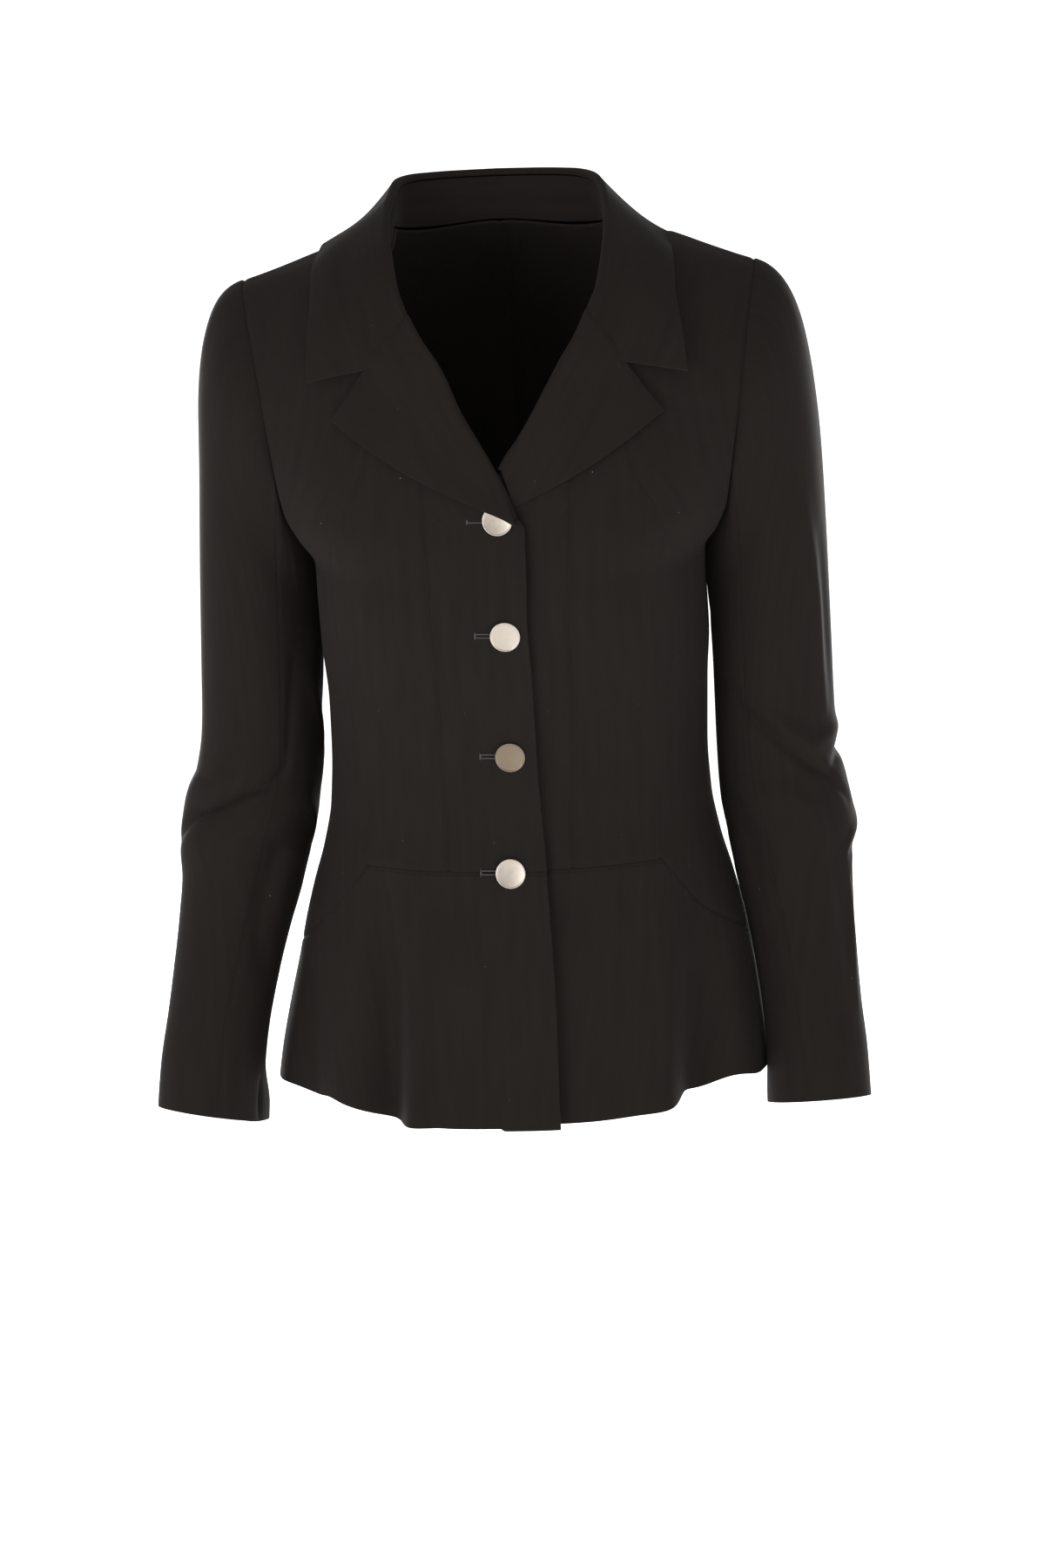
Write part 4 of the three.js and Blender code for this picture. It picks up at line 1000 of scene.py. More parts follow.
def on_arm(side, turn, z):
    """A point of the sleeve below its head, by its turn about the arm and its height."""
    centre = arm_centre(side, z)
    run = unit(arm_centre(side, z - 2) - arm_centre(side, z + 2))
    lateral = unit(np.array([1.0, 0, 0]) - run * run[..., :1])
    forward = unit(np.cross(run, lateral))
    forward = np.where(forward[..., 1:2] > 0, -forward, forward)
    angle = 2 * math.pi * turn
    fuller = 0.0
    if side == ARM_SPREAD["side"]:
        fuller = ARM_SPREAD["fuller"] * smooth(-z, *ARM_SPREAD["fullerAt"])
    crease = crease_depth(side, turn, z) + fuller
    wide = (ARM.column("halfWide", z) + crease) * np.cos(angle)
    deep = (ARM.column("halfDeep", z) + crease) * np.sin(angle)
    return centre + lateral * wide[..., None] + forward * deep[..., None]


def on_head(side, turn, share):
    """The sleeve head leaves the armhole outward and turns down into the arm."""
    depth = inside(turn)
    start = on_armhole(turn)
    low = lerp(CAP["outer"], CAP["inner"], depth)
    end = on_arm(side, turn, low)
    falling = unit(on_arm(side, turn, low - 1) - end)
    angle = 2 * math.pi * turn
    lean = CAP["lean"]
    away = vector(lerp(1, -lean, depth), -CAP["spread"] * np.sin(angle), lerp(-lean, -1, depth))
    away = unit(away)
    away = away * lerp(CAP["reach"], CAP["innerReach"], depth)[..., None]
    falling = falling * lerp(CAP["fall"], CAP["innerFall"], depth)[..., None]
    s = share[..., None]
    return (
        start * (1 + 2 * s) * (1 - s) ** 2 + away * s * (1 - s) ** 2
        + end * s * s * (3 - 2 * s) + falling * s * s * (s - 1)
    )


def sleeve_face(side, top_turns, low_turns, flare):
    """A part of a sleeve between two seams, given by their turns at the head and the cuff."""
    gap = GAP / 2 / SLEEVE_PART

    def face(u, v):
        across = lerp(gap, 1 - gap, u)
        head = np.minimum(v / HEAD_SHARE, 1)
        arm = np.maximum((v - HEAD_SHARE) / (1 - HEAD_SHARE), 0)
        top_turn = lerp(*top_turns, across)
        low = lerp(CAP["outer"], CAP["inner"], inside(top_turn))
        low_turn = lerp(*low_turns, across)
        cuff = CUFF - CUFF_HANG[side] * (1 - CUFF_SLANT * np.cos(2 * math.pi * low_turn))
        z = lerp(low, cuff, arm)
        turn = lerp(top_turn, low_turn, smooth(-z, TWIST_FROM, -CUFF))
        on_top = on_head(side, top_turn, head)
        on_top = np.where((v == 0)[..., None], on_armhole(top_turn, 1.0), on_top)
        point = np.where((v < HEAD_SHARE)[..., None], on_top, on_arm(side, turn, z))
        vent = smooth(-point[..., 2], -CUFF - VENT["height"], -CUFF)
        point[..., 0] -= flare * (vent * smooth(u, VENT["from"], 1))
        point[..., 0] *= side
        return stance(point)

    return face


# ---------------------------------------------------------------- cloth as a mesh


def even(count):
    return np.linspace(0, 1, count + 1)


def close_at_ends(count, amount=0.4):
    """Shares that lie closer together toward both ends."""
    share = even(count)
    return share - amount * np.sin(2 * math.pi * share) / (2 * math.pi)


def split_at(split, before, after):
    """Shares up to a split, and others from there to the end."""
    return np.concatenate([before * split, lerp(split, 1, after[1:])])


def grid_normals(points):
    return unit(np.cross(np.gradient(points, axis=1), np.gradient(points, axis=0)))


def distances(points, axis):
    steps = np.linalg.norm(np.diff(points, axis=axis), axis=-1)
    whole = np.cumsum(steps, axis=axis)
    start = np.zeros_like(np.take(whole, [0], axis=axis))
    return np.concatenate([start, whole], axis=axis)


# The distance noted where no seam is near, and the depth from which a seam is drawn.
NOT_SEWN = 99.0
DRAWN_FROM = 0.4


def press_seams(points, normals, seams, depth, width):
    """Presses the cloth down beside the edges that are sewn, and says how far away those are."""
    across = distances(points, 1)
    down = distances(points, 0)
    sewn = np.full(across.shape, NOT_SEWN)
    from_edge = {
        "start": across,
        "end": across[:, -1:] - across,
        "low": down,
        "high": down[-1:, :] - down,
    }
    for seam, share in seams.items():
        sink = depth * share * bell(from_edge[seam], width)
        points = points - normals * sink[..., None]
        if share >= DRAWN_FROM:
            sewn = np.minimum(sewn, from_edge[seam])
    return points, sewn


def cloth_piece(node, face, columns, rows, outward, seams):
    """A piece of cloth as a thin shell over a grid, with the flat distances of its cut as its UV
    map.
    """
    sizes = bpy.context.scene.jacket_cloth
    u, v = np.meshgrid(columns, rows)
    points = face(u, v)
    normals = grid_normals(points) * outward
    points, sewn = press_seams(
        points, normals, seams, sizes.seam_depth * 1e3, sizes.seam_width * 1e3
    )
    high, wide = u.shape
    index = np.arange(high * wide).reshape(high, wide)
    corners = [index[:-1, :-1], index[:-1, 1:], index[1:, 1:], index[1:, :-1]]
    if outward < 0:
        corners.reverse()
    faces = np.stack([corner.ravel() for corner in corners], axis=1)
    mesh = bpy.data.meshes.new(node + "_cloth")
    mesh.from_pydata((points.reshape(-1, 3) / 1000).tolist(), [], faces.tolist())
    across, down = distances(points, 1), distances(points, 0)
    flat = np.stack([across, down], axis=-1).reshape(-1, 2) / 1000
    uv = mesh.uv_layers.new(name="cut")
    loops = np.empty(len(mesh.loops), int)
    mesh.loops.foreach_get("vertex_index", loops)
    uv.data.foreach_set("uv", flat[loops].ravel())
    near_seam = mesh.attributes.new("sewn", "FLOAT", "POINT")
    near_seam.data.foreach_set("value", sewn.ravel())
    mesh.polygons.foreach_set("use_smooth", np.ones(len(mesh.polygons), bool))
    mesh.materials.append(crepe())
    piece = bpy.data.objects.new(node + "_cloth", mesh)
    bpy.context.collection.objects.link(piece)
    wall = piece.modifiers.new("wall", "SOLIDIFY")
    wall.thickness = sizes.wall
    wall.offset = -1
    edge = piece.modifiers.new("edge", "BEVEL")
    edge.width = sizes.edge_round
    edge.segments = 2
    edge.limit_method = "ANGLE"
    edge.angle_limit = math.radians(50)
    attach(piece, BODY)
    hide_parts(node)
    return piece


# ---------------------------------------------------------------- finishes


def node_group(name, inputs, outputs, build):
    """A shader node group with named inputs and outputs, built once."""
    if name in bpy.data.node_groups:
        return bpy.data.node_groups[name]
    group = bpy.data.node_groups.new(name, "ShaderNodeTree")
    for label, kind, value in inputs:
        socket = group.interface.new_socket(name=label, in_out="INPUT", socket_type=kind)
        if value is not None:
            socket.default_value = value
    for label, kind in outputs:
        group.interface.new_socket(name=label, in_out="OUTPUT", socket_type=kind)
    start = group.nodes.new("NodeGroupInput")
    end = group.nodes.new("NodeGroupOutput")
    build(group, start.outputs, end.inputs)
    return group


def add_node(tree, kind, values=(), **settings):
    node = tree.nodes.new(kind)
    for name, value in settings.items():
        setattr(node, name, value)
    for name, value in dict(values).items():
        node.inputs[name].default_value = value
    return node


def maths(tree, operation, first, second=None, clamp=False):
    node = add_node(tree, "ShaderNodeMath", operation=operation, use_clamp=clamp)
    for i, value in enumerate((first, second)):
        if isinstance(value, (int, float)):
            node.inputs[i].default_value = value
        elif value is not None:
            tree.links.new(value, node.inputs[i])
    return node.outputs[0]


def noise(tree, place, scale, stretch, detail, roughness):
    mapping = add_node(tree, "ShaderNodeMapping", {"Scale": stretch})
    tree.links.new(place, mapping.inputs["Vector"])
    texture = add_node(
        tree, "ShaderNodeTexNoise", {"Scale": scale, "Detail": detail, "Roughness": roughness}
    )
    tree.links.new(mapping.outputs[0], texture.inputs["Vector"])
    return texture.outputs["Fac"]


PLACE = ("Place", "NodeSocketVector", None)
# Layers of the grain: scale, stretch along the cloth, detail, roughness and share of the height.
GRAIN = {
    "fine": (1900, 0.45, 2, 0.6, 0.5),
    "pebble": (620, 0.6, 2, 0.5, 0.7),
    "slub": (150, 0.12, 1, 0.5, 0.35),
}
GRAIN_UNDER_SEAM = 0.35
CREPE_SHADES = (0.8, 1.25)
CREPE_BUMP = 0.0006
LINT = {"scale": 55.0, "size": 0.02, "share": 0.6, "colour": (0.16, 0.15, 0.14)}
# Distance from a seam at which its turned edge shows, and half the width of the line, in mm.
TURNED_EDGE = {"at": 2.6, "wide": 0.55}
HANDLING = {"scale": 260, "detail": 4, "roughness": 0.6, "darker": 0.86}
METAL_ROUGHNESS = {"bright": 0.3, "dull": 0.36}
HANDLED_ROUGHNESS = (-0.05, 0.1)
THREAD_SHADE = 0.7
THREAD_BUMP = (0.8, 0.0003)


def grain_group():
    """Uneven crepe grain, a little longer along the cloth than across it."""

    def build(tree, given, out):
        height = 0.0
        for scale, stretch, detail, roughness, share in GRAIN.values():
            layer = noise(tree, given["Place"], scale, (1, stretch, 1), detail, roughness)
            height = maths(tree, "ADD", height, maths(tree, "MULTIPLY", layer, share))
        tree.links.new(height, out["Height"])
        tree.links.new(layer, out["Slub"])

    return node_group(
        "crepe grain", [PLACE], [("Height", "NodeSocketFloat"), ("Slub", "NodeSocketFloat")], build
    )


def lint_group():
    """Sparse specks of lint that lie on the cloth."""

    def build(tree, given, out):
        cells = add_node(tree, "ShaderNodeTexVoronoi", {"Scale": LINT["scale"], "Randomness": 1.0})
        tree.links.new(given["Place"], cells.inputs["Vector"])
        near = maths(tree, "LESS_THAN", cells.outputs["Distance"], LINT["size"])
        chosen = add_node(tree, "ShaderNodeSeparateColor")
        tree.links.new(cells.outputs["Color"], chosen.inputs[0])
        some = maths(tree, "GREATER_THAN", chosen.outputs[0], LINT["share"])
        tree.links.new(maths(tree, "MULTIPLY", near, some), out["Mask"])

    return node_group("lint specks", [PLACE], [("Mask", "NodeSocketFloat")], build)


def pressed_group():
    """The faint line beside a seam where its turned edge lies under the cloth."""

    def build(tree, given, out):
        beside = maths(tree, "SUBTRACT", given["Distance"], TURNED_EDGE["at"])
        beside = maths(tree, "DIVIDE", maths(tree, "ABSOLUTE", beside), TURNED_EDGE["wide"])
        line = maths(tree, "SUBTRACT", 1.0, beside, clamp=True)
        tree.links.new(line, out["Line"])

    return node_group(
        "pressed edge", [("Distance", "NodeSocketFloat", NOT_SEWN)], [("Line", "NodeSocketFloat")],
        build,
    )


def handled_group():
    """Soft cloudy marks of handling."""

    def build(tree, given, out):
        marks = noise(
            tree, given["Place"], HANDLING["scale"], (1, 1, 1), HANDLING["detail"],
            HANDLING["roughness"],
        )
        tree.links.new(marks, out["Mask"])

    return node_group("handling marks", [PLACE], [("Mask", "NodeSocketFloat")], build)


def material_once(name, finish=None, **values):
    """A material with values on its shader's sockets, made at the first call for its name."""
    if name not in bpy.data.materials:
        material = bpy.data.materials.new(name)
        material.use_nodes = True
        tree = material.node_tree
        shader = tree.nodes["Principled BSDF"]
        if finish:
            finish(tree, shader)
        for socket, value in values.items():
            shader.inputs[socket.replace("_", " ")].default_value = value
    return bpy.data.materials[name]


def use_group(tree, group, given, name="Place"):
    node = add_node(tree, "ShaderNodeGroup", node_tree=group)
    tree.links.new(given, node.inputs[name])
    return node.outputs


def blend_colours(tree, factor, first, second):
    """A mix of two colours, each given as three numbers or as an output of another node."""
    mix = add_node(tree, "ShaderNodeMix", data_type="RGBA")
    tree.links.new(factor, mix.inputs[0])
    for socket, colour in ((mix.inputs[6], first), (mix.inputs[7], second)):
        if isinstance(colour, bpy.types.NodeSocket):
            tree.links.new(colour, socket)
        else:
            socket.default_value = (*colour, 1)
    return mix.outputs[2]


def shaded(colour, share):
    return [channel * share for channel in colour]


def crepe():
    """Black crepe, with its grain along the cut of each piece and a line beside its seams."""
    cloth = bpy.context.scene.jacket_cloth

    def finish(tree, shader):
        place = add_node(tree, "ShaderNodeUVMap", uv_map="cut").outputs[0]
        grain = use_group(tree, grain_group(), place)
        lint = use_group(tree, lint_group(), place)
        shades = [shaded(cloth.colour, share) for share in CREPE_SHADES]
        shade = blend_colours(tree, grain["Slub"], *shades)
        shade = blend_colours(tree, lint["Mask"], shade, LINT["colour"])
        tree.links.new(shade, shader.inputs["Base Color"])
        sewn = add_node(tree, "ShaderNodeAttribute", attribute_name="sewn").outputs["Fac"]
        pressed = use_group(tree, pressed_group(), sewn, "Distance")
        height = maths(tree, "MULTIPLY", grain["Height"], GRAIN_UNDER_SEAM)
        height = maths(tree, "SUBTRACT", height, pressed["Line"])
        raise_surface(tree, shader, height, cloth.grain, CREPE_BUMP)

    return material_once(
        "crepe", finish, Roughness=cloth.roughness, Specular_IOR_Level=0.1,
        Sheen_Weight=cloth.sheen, Sheen_Roughness=0.45, Sheen_Tint=(1.0, 0.95, 0.88, 1),
    )


def raise_surface(tree, shader, height, strength, distance):
    bump = add_node(tree, "ShaderNodeBump", {"Strength": strength, "Distance": distance})
    tree.links.new(height, bump.inputs["Height"])
    tree.links.new(bump.outputs[0], shader.inputs["Normal"])


def metal(name, colour, roughness):
    """Satin metal with soft cloudy marks of handling."""

    def finish(tree, shader):
        place = add_node(tree, "ShaderNodeTexCoord").outputs["Object"]
        marks = use_group(tree, handled_group(), place)["Mask"]
        shade = blend_colours(tree, marks, shaded(colour, HANDLING["darker"]), colour)
        tree.links.new(shade, shader.inputs["Base Color"])
        smoother, rougher = HANDLED_ROUGHNESS
        rough = add_node(
            tree, "ShaderNodeMapRange",
            {"To Min": roughness + smoother, "To Max": roughness + rougher},
        )
        tree.links.new(marks, rough.inputs[0])
        tree.links.new(rough.outputs[0], shader.inputs["Roughness"])

    return material_once(name, finish, Metallic=1)


def thread():
    """The thread round the buttonholes, a little lighter than the cloth."""
    colour = bpy.context.scene.jacket_cloth.thread_colour

    def finish(tree, shader):
        place = add_node(tree, "ShaderNodeTexCoord").outputs["Object"]
        grain = use_group(tree, grain_group(), place)
        shade = blend_colours(tree, grain["Slub"], shaded(colour, THREAD_SHADE), colour)
        tree.links.new(shade, shader.inputs["Base Color"])
        raise_surface(tree, shader, grain["Height"], *THREAD_BUMP)

    return material_once("buttonhole thread", finish, Roughness=0.6)


# ---------------------------------------------------------------- settings


class JacketCloth(bpy.types.PropertyGroup):
    """The cloth of the jacket."""

    wall: bpy.props.FloatProperty(
        name="Wall", description="Thickness of the cloth", default=0.0018, min=0.001, max=0.003,
        precision=4, unit="LENGTH",
    )
    edge_round: bpy.props.FloatProperty(
        name="Edge rounding", description="How far the edges of the cloth are rounded",
        default=0.0006, min=0, max=0.001, precision=4, unit="LENGTH",
    )
    seam_depth: bpy.props.FloatProperty(
        name="Seam depth", description="How far a pressed seam sinks", default=0.001, min=0,
        max=0.003, precision=4, unit="LENGTH",
    )
    seam_width: bpy.props.FloatProperty(
        name="Seam width", description="How wide a pressed seam sinks on each side",
        default=0.0016, min=0.0005, max=0.01, precision=4, unit="LENGTH",
    )
    colour: bpy.props.FloatVectorProperty(
        name="Colour", description="Colour of the crepe", default=(0.0076, 0.0059, 0.005),
        min=0, max=1, subtype="COLOR",
    )
    thread_colour: bpy.props.FloatVectorProperty(
        name="Thread colour", description="Colour of the buttonhole thread",
        default=(0.024, 0.022, 0.019), min=0, max=1, subtype="COLOR",
    )
    roughness: bpy.props.FloatProperty(
        name="Roughness", description="How matte the crepe is", default=0.85, min=0, max=1,
        subtype="FACTOR",
    )
    sheen: bpy.props.FloatProperty(
        name="Sheen", description="Soft light along the turned edges", default=0.02, min=0,
        max=1, subtype="FACTOR",
    )
    grain: bpy.props.FloatProperty(
        name="Grain", description="Strength of the crepe's grain", default=0.5, min=0, max=1,
        subtype="FACTOR",
    )


class JacketButtons(bpy.types.PropertyGroup):
    """The buttons of the jacket."""

    radius: bpy.props.FloatProperty(
        name="Radius", description="Radius of a button", default=0.01025, min=0.005, max=0.02,
        precision=5, unit="LENGTH",
    )
    thickness: bpy.props.FloatProperty(
        name="Thickness", description="Thickness of a button at its rim", default=0.0022,
        min=0.001, max=0.005, precision=4, unit="LENGTH",
    )
    rim: bpy.props.FloatProperty(
        name="Rim", description="Width of the raised rim", default=0.0008, min=0.0003, max=0.004,
        precision=4, unit="LENGTH",
    )
    step: bpy.props.FloatProperty(
        name="Step", description="How far the face lies below the rim", default=0.0003, min=0,
        max=0.001, precision=4, unit="LENGTH",
    )
    shank: bpy.props.FloatProperty(
        name="Shank", description="Radius of the thread shank", default=0.0012, min=0.0005,
        max=0.003, precision=4, unit="LENGTH",
    )
    cord: bpy.props.FloatProperty(
        name="Buttonhole cord", description="Radius of the stitched edge of a buttonhole",
        default=0.0005, min=0.0002, max=0.001, precision=4, unit="LENGTH",
    )
    colour: bpy.props.FloatVectorProperty(
        name="Colour", description="Colour of the metal", default=(0.42, 0.375, 0.325), min=0,
        max=1, subtype="COLOR",
    )
    dull_colour: bpy.props.FloatVectorProperty(
        name="Dull colour", description="Colour of the one duller button",
        default=(0.17, 0.135, 0.1), min=0, max=1, subtype="COLOR",
    )


class JacketStage(bpy.types.PropertyGroup):
    """The floor, the light and the camera."""

    floor_drop: bpy.props.FloatProperty(
        name="Floor drop", description="How far the floor lies below the jacket", default=0.5,
        min=0, max=3, unit="LENGTH",
    )
    floor_colour: bpy.props.FloatVectorProperty(
        name="Floor colour", description="Colour of the floor", default=(0.93, 0.93, 0.93), min=0,
        max=1, subtype="COLOR",
    )
    floor_glow: bpy.props.FloatProperty(
        name="Floor glow", description="Light that the floor gives off", default=0.6, min=0, max=2,
    )
    surroundings: bpy.props.FloatProperty(
        name="Surroundings", description="Brightness of the light from all round", default=0.78,
        min=0, max=5,
    )
    key: bpy.props.FloatProperty(
        name="Key light", description="Power of the large light before the front", default=38.0,
        min=0, max=1000, unit="POWER",
    )
    azimuth: bpy.props.FloatProperty(
        name="Azimuth", description="How far the camera stands round the jacket",
        default=math.radians(4.5), subtype="ANGLE",
    )
    elevation: bpy.props.FloatProperty(
        name="Elevation", description="How high the camera looks down from",
        default=math.radians(13.0), subtype="ANGLE",
    )
    roll: bpy.props.FloatProperty(
        name="Roll", description="How far the camera is turned about its view",
        default=math.radians(1.6), subtype="ANGLE",
    )
    distance: bpy.props.FloatProperty(
        name="Distance", description="Distance from the camera to its target", default=3.4,
        min=0.5, max=20, unit="LENGTH",
    )
    lens: bpy.props.FloatProperty(
        name="Lens", description="Focal length for a frame 36 mm high", default=109.677, min=10,
        max=400,
    )
    aside: bpy.props.FloatProperty(
        name="Aside", description="How far the camera stands to the right of its target",
        default=0.0031, unit="LENGTH", precision=4,
    )
    target_height: bpy.props.FloatProperty(
        name="Target height", description="Height that the camera looks at", default=-0.395,
        unit="LENGTH",
    )


# ---------------------------------------------------------------- operators


# How deep the sewn edges of a piece are pressed, as shares of the seam depth. The seam between
# the middle and side fronts is pressed too flat to be drawn.
ALL_SEWN = {"start": 1, "end": 1, "low": 1, "high": 1}
FLAT_SEAM = 0.35
SLEEVE_SEWN = {"start": 0.4, "end": 0.4, "low": 1.5}


class JACKET_OT_fronts(bpy.types.Operator):
    """Make the three panels of each front above the waist"""

    bl_idname = "jacket.fronts"
    bl_label = "Fronts"

    def execute(self, context):
        top = princess_top()
        low = WAIST_SEAM + GAP / 2
        for name, side in SIDES.items():
            cloth_piece(
                f"front_{name}", front_panel(side, front_end, princess, low, top),
                close_at_ends(30, 0.7), close_at_ends(110), side, {"end": 1, "low": 1},
            )
            start = lambda height: np.maximum(princess(height), front_end(height))
            face = front_panel(side, start, side_front_line, low, SHOULDER_SEAM - GAP / 2)
            cloth_piece(
                f"middle_front_{name}", before_shoulder(face), close_at_ends(30, 0.7),
                close_at_ends(190), side, ALL_SEWN | {"end": FLAT_SEAM},
            )
            cloth_piece(
                f"side_front_{name}", side_front_face(side), close_at_ends(46, 0.7),
                close_at_ends(190), side, ALL_SEWN | {"start": FLAT_SEAM},
            )
        return {"FINISHED"}


class JACKET_OT_basque(bpy.types.Operator):
    """Make the two halves of the flared basque below the waist"""

    bl_idname = "jacket.basque"
    bl_label = "Basque"

    def execute(self, context):
        for name, side in SIDES.items():
            cloth_piece(
                f"basque_{name}", basque_face(side), close_at_ends(150, 0.3),
                close_at_ends(64), side, {"end": 1, "high": 1},
            )
        return {"FINISHED"}


class JACKET_OT_backs(bpy.types.Operator):
    """Make the two halves of the back"""

    bl_idname = "jacket.backs"
    bl_label = "Backs"

    def execute(self, context):
        for name, side in SIDES.items():
            cloth_piece(
                f"back_{name}", back_face(side), close_at_ends(90),
                close_at_ends(200), -side, {"start": 1, "end": 1, "high": 1},
            )
        return {"FINISHED"}


class JACKET_OT_lapels(bpy.types.Operator):
    """Make the lapels, which roll over the fronts"""

    bl_idname = "jacket.lapels"
    bl_label = "Lapels"

    def execute(self, context):
        columns = split_at(LAPEL_BEND, even(10), close_at_ends(44))
        for name, side in SIDES.items():
            cloth_piece(
                f"lapel_{name}", lapel_face(side), columns, close_at_ends(80, 0.3), side,
                {"high": 0.5},
            )
        return {"FINISHED"}


class JACKET_OT_collar(bpy.types.Operator):
    """Make the collar and the stand that it folds over"""

    bl_idname = "jacket.collar"
    bl_label = "Collar"

    def execute(self, context):
        columns = split_at(COLLAR_BEND, even(12), close_at_ends(26))
        cloth_piece(
            "collar", collar_face, columns, even(260), -1, {},
        )
        cloth_piece(
            "collar_stand", stand_face, even(10), even(180), -1, {"start": 1},
        )
        return {"FINISHED"}


class JACKET_OT_sleeves(bpy.types.Operator):
    """Make the top and under parts of the sleeves"""

    bl_idname = "jacket.sleeves"
    bl_label = "Sleeves"

    def execute(self, context):
        front, back = (SEAM_FRONT_TOP, SEAM_FRONT_LOW), (SEAM_BACK_TOP, SEAM_BACK_LOW)
        before = (SEAM_BACK_TOP - 1, SEAM_BACK_LOW - 1)
        rows = split_at(HEAD_SHARE, close_at_ends(60), even(180))
        for name, side in SIDES.items():
            parts = {"top": (before, front, 0, 76), "under": (front, back, VENT[name], 44)}
            for part, (start, end, flare, count) in parts.items():
                top, low = zip(start, end)
                cloth_piece(
                    f"sleeve_{part}_{name}", sleeve_face(side, top, low, flare),
                    close_at_ends(count), rows, side, SLEEVE_SEWN,
                )
        return {"FINISHED"}


# In metres: the slope inside a button's rim, and the rounding of its edges.
BUTTON_SLOPE = 0.0002
BUTTON_ROUNDING = 0.0003


def button_place(index):
    """The foot of a button's shank on the left front, and its seat on the right one."""
    across, height = BUTTON_PLACES[index]
    lift = overlap_lift(RIGHT, height, 0)
    foot = on_body(LEFT, FRONT, height, across, 2 * SEAM)
    seat = on_body(LEFT, FRONT, height, across, lift + 2 * SEAM)
    return Vector(foot / 1000), Vector(seat / 1000)


def place_and_turn(piece, place, facing):
    """Stands a piece on its place with its top facing a direction, all within its mesh."""
    turn = Vector((0, 0, 1)).rotation_difference(facing.normalized())
    piece.matrix_world = Matrix.Translation(place) @ turn.to_matrix().to_4x4()
    bpy.ops.object.transform_apply(location=True, rotation=True, scale=True)


def select_faces(piece, chosen):
    bpy.ops.object.mode_set(mode="EDIT")
    bpy.ops.mesh.select_mode(type="FACE")
    bpy.ops.mesh.select_all(action="DESELECT")
    solid = bmesh.from_edit_mesh(piece.data)
    solid.faces.ensure_lookup_table()
    for side in solid.faces:
        if chosen(side):
            side.select = True
    bmesh.update_edit_mesh(piece.data)


def button_with_shank(name, sizes, stem):
    """A round of metal with a raised rim, joined to the shank below it and rounded."""
    bpy.ops.object.select_all(action="DESELECT")
    bpy.ops.mesh.primitive_cylinder_add(vertices=96, radius=sizes.radius, depth=sizes.thickness)
    disc = bpy.context.object
    disc.name = disc.data.name = name
    top = lambda side: side.normal.z > 0.9 and side.calc_center_median().z > 0
    select_faces(disc, top)
    bpy.ops.mesh.inset(thickness=sizes.rim, depth=0)
    bpy.ops.mesh.inset(thickness=BUTTON_SLOPE, depth=-sizes.step)
    bpy.ops.object.mode_set(mode="OBJECT")
    bpy.ops.object.select_all(action="DESELECT")
    bpy.ops.mesh.primitive_cylinder_add(
        vertices=24, radius=sizes.shank, depth=stem,
        location=(0, 0, -sizes.thickness / 2 - stem / 2),
    )
    shank = bpy.context.object
    disc.select_set(True)
    bpy.context.view_layer.objects.active = disc
    shank.select_set(True)
    bpy.ops.object.join()
    rounding = disc.modifiers.new("rim", "BEVEL")
    rounding.width = BUTTON_ROUNDING
    rounding.segments = 3
    rounding.limit_method = "ANGLE"
    rounding.angle_limit = math.radians(28)
    bpy.ops.object.modifier_apply(modifier="rim")
    bpy.ops.object.shade_smooth_by_angle(angle=math.radians(40))
    return disc


class JACKET_OT_buttons(bpy.types.Operator):
    """Make the four metal buttons with their shanks"""

    bl_idname = "jacket.buttons"
    bl_label = "Buttons"

    def execute(self, context):
        sizes = context.scene.jacket_buttons
        bright = metal("satin metal", sizes.colour, METAL_ROUGHNESS["bright"])
        dull = metal("dull metal", sizes.dull_colour, METAL_ROUGHNESS["dull"])
        for i in range(len(BUTTON_PLACES)):
            foot, seat = button_place(i)
            disc = button_with_shank(f"button_{i + 1}_metal", sizes, (seat - foot).length)
            middle = seat + (seat - foot).normalized() * sizes.thickness / 2
            place_and_turn(disc, middle, seat - foot)
            disc.data.materials.clear()
            disc.data.materials.append(dull if i == DULL_BUTTON else bright)
            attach(disc, BODY)
            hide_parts(f"button_{i + 1}")
        return {"FINISHED"}


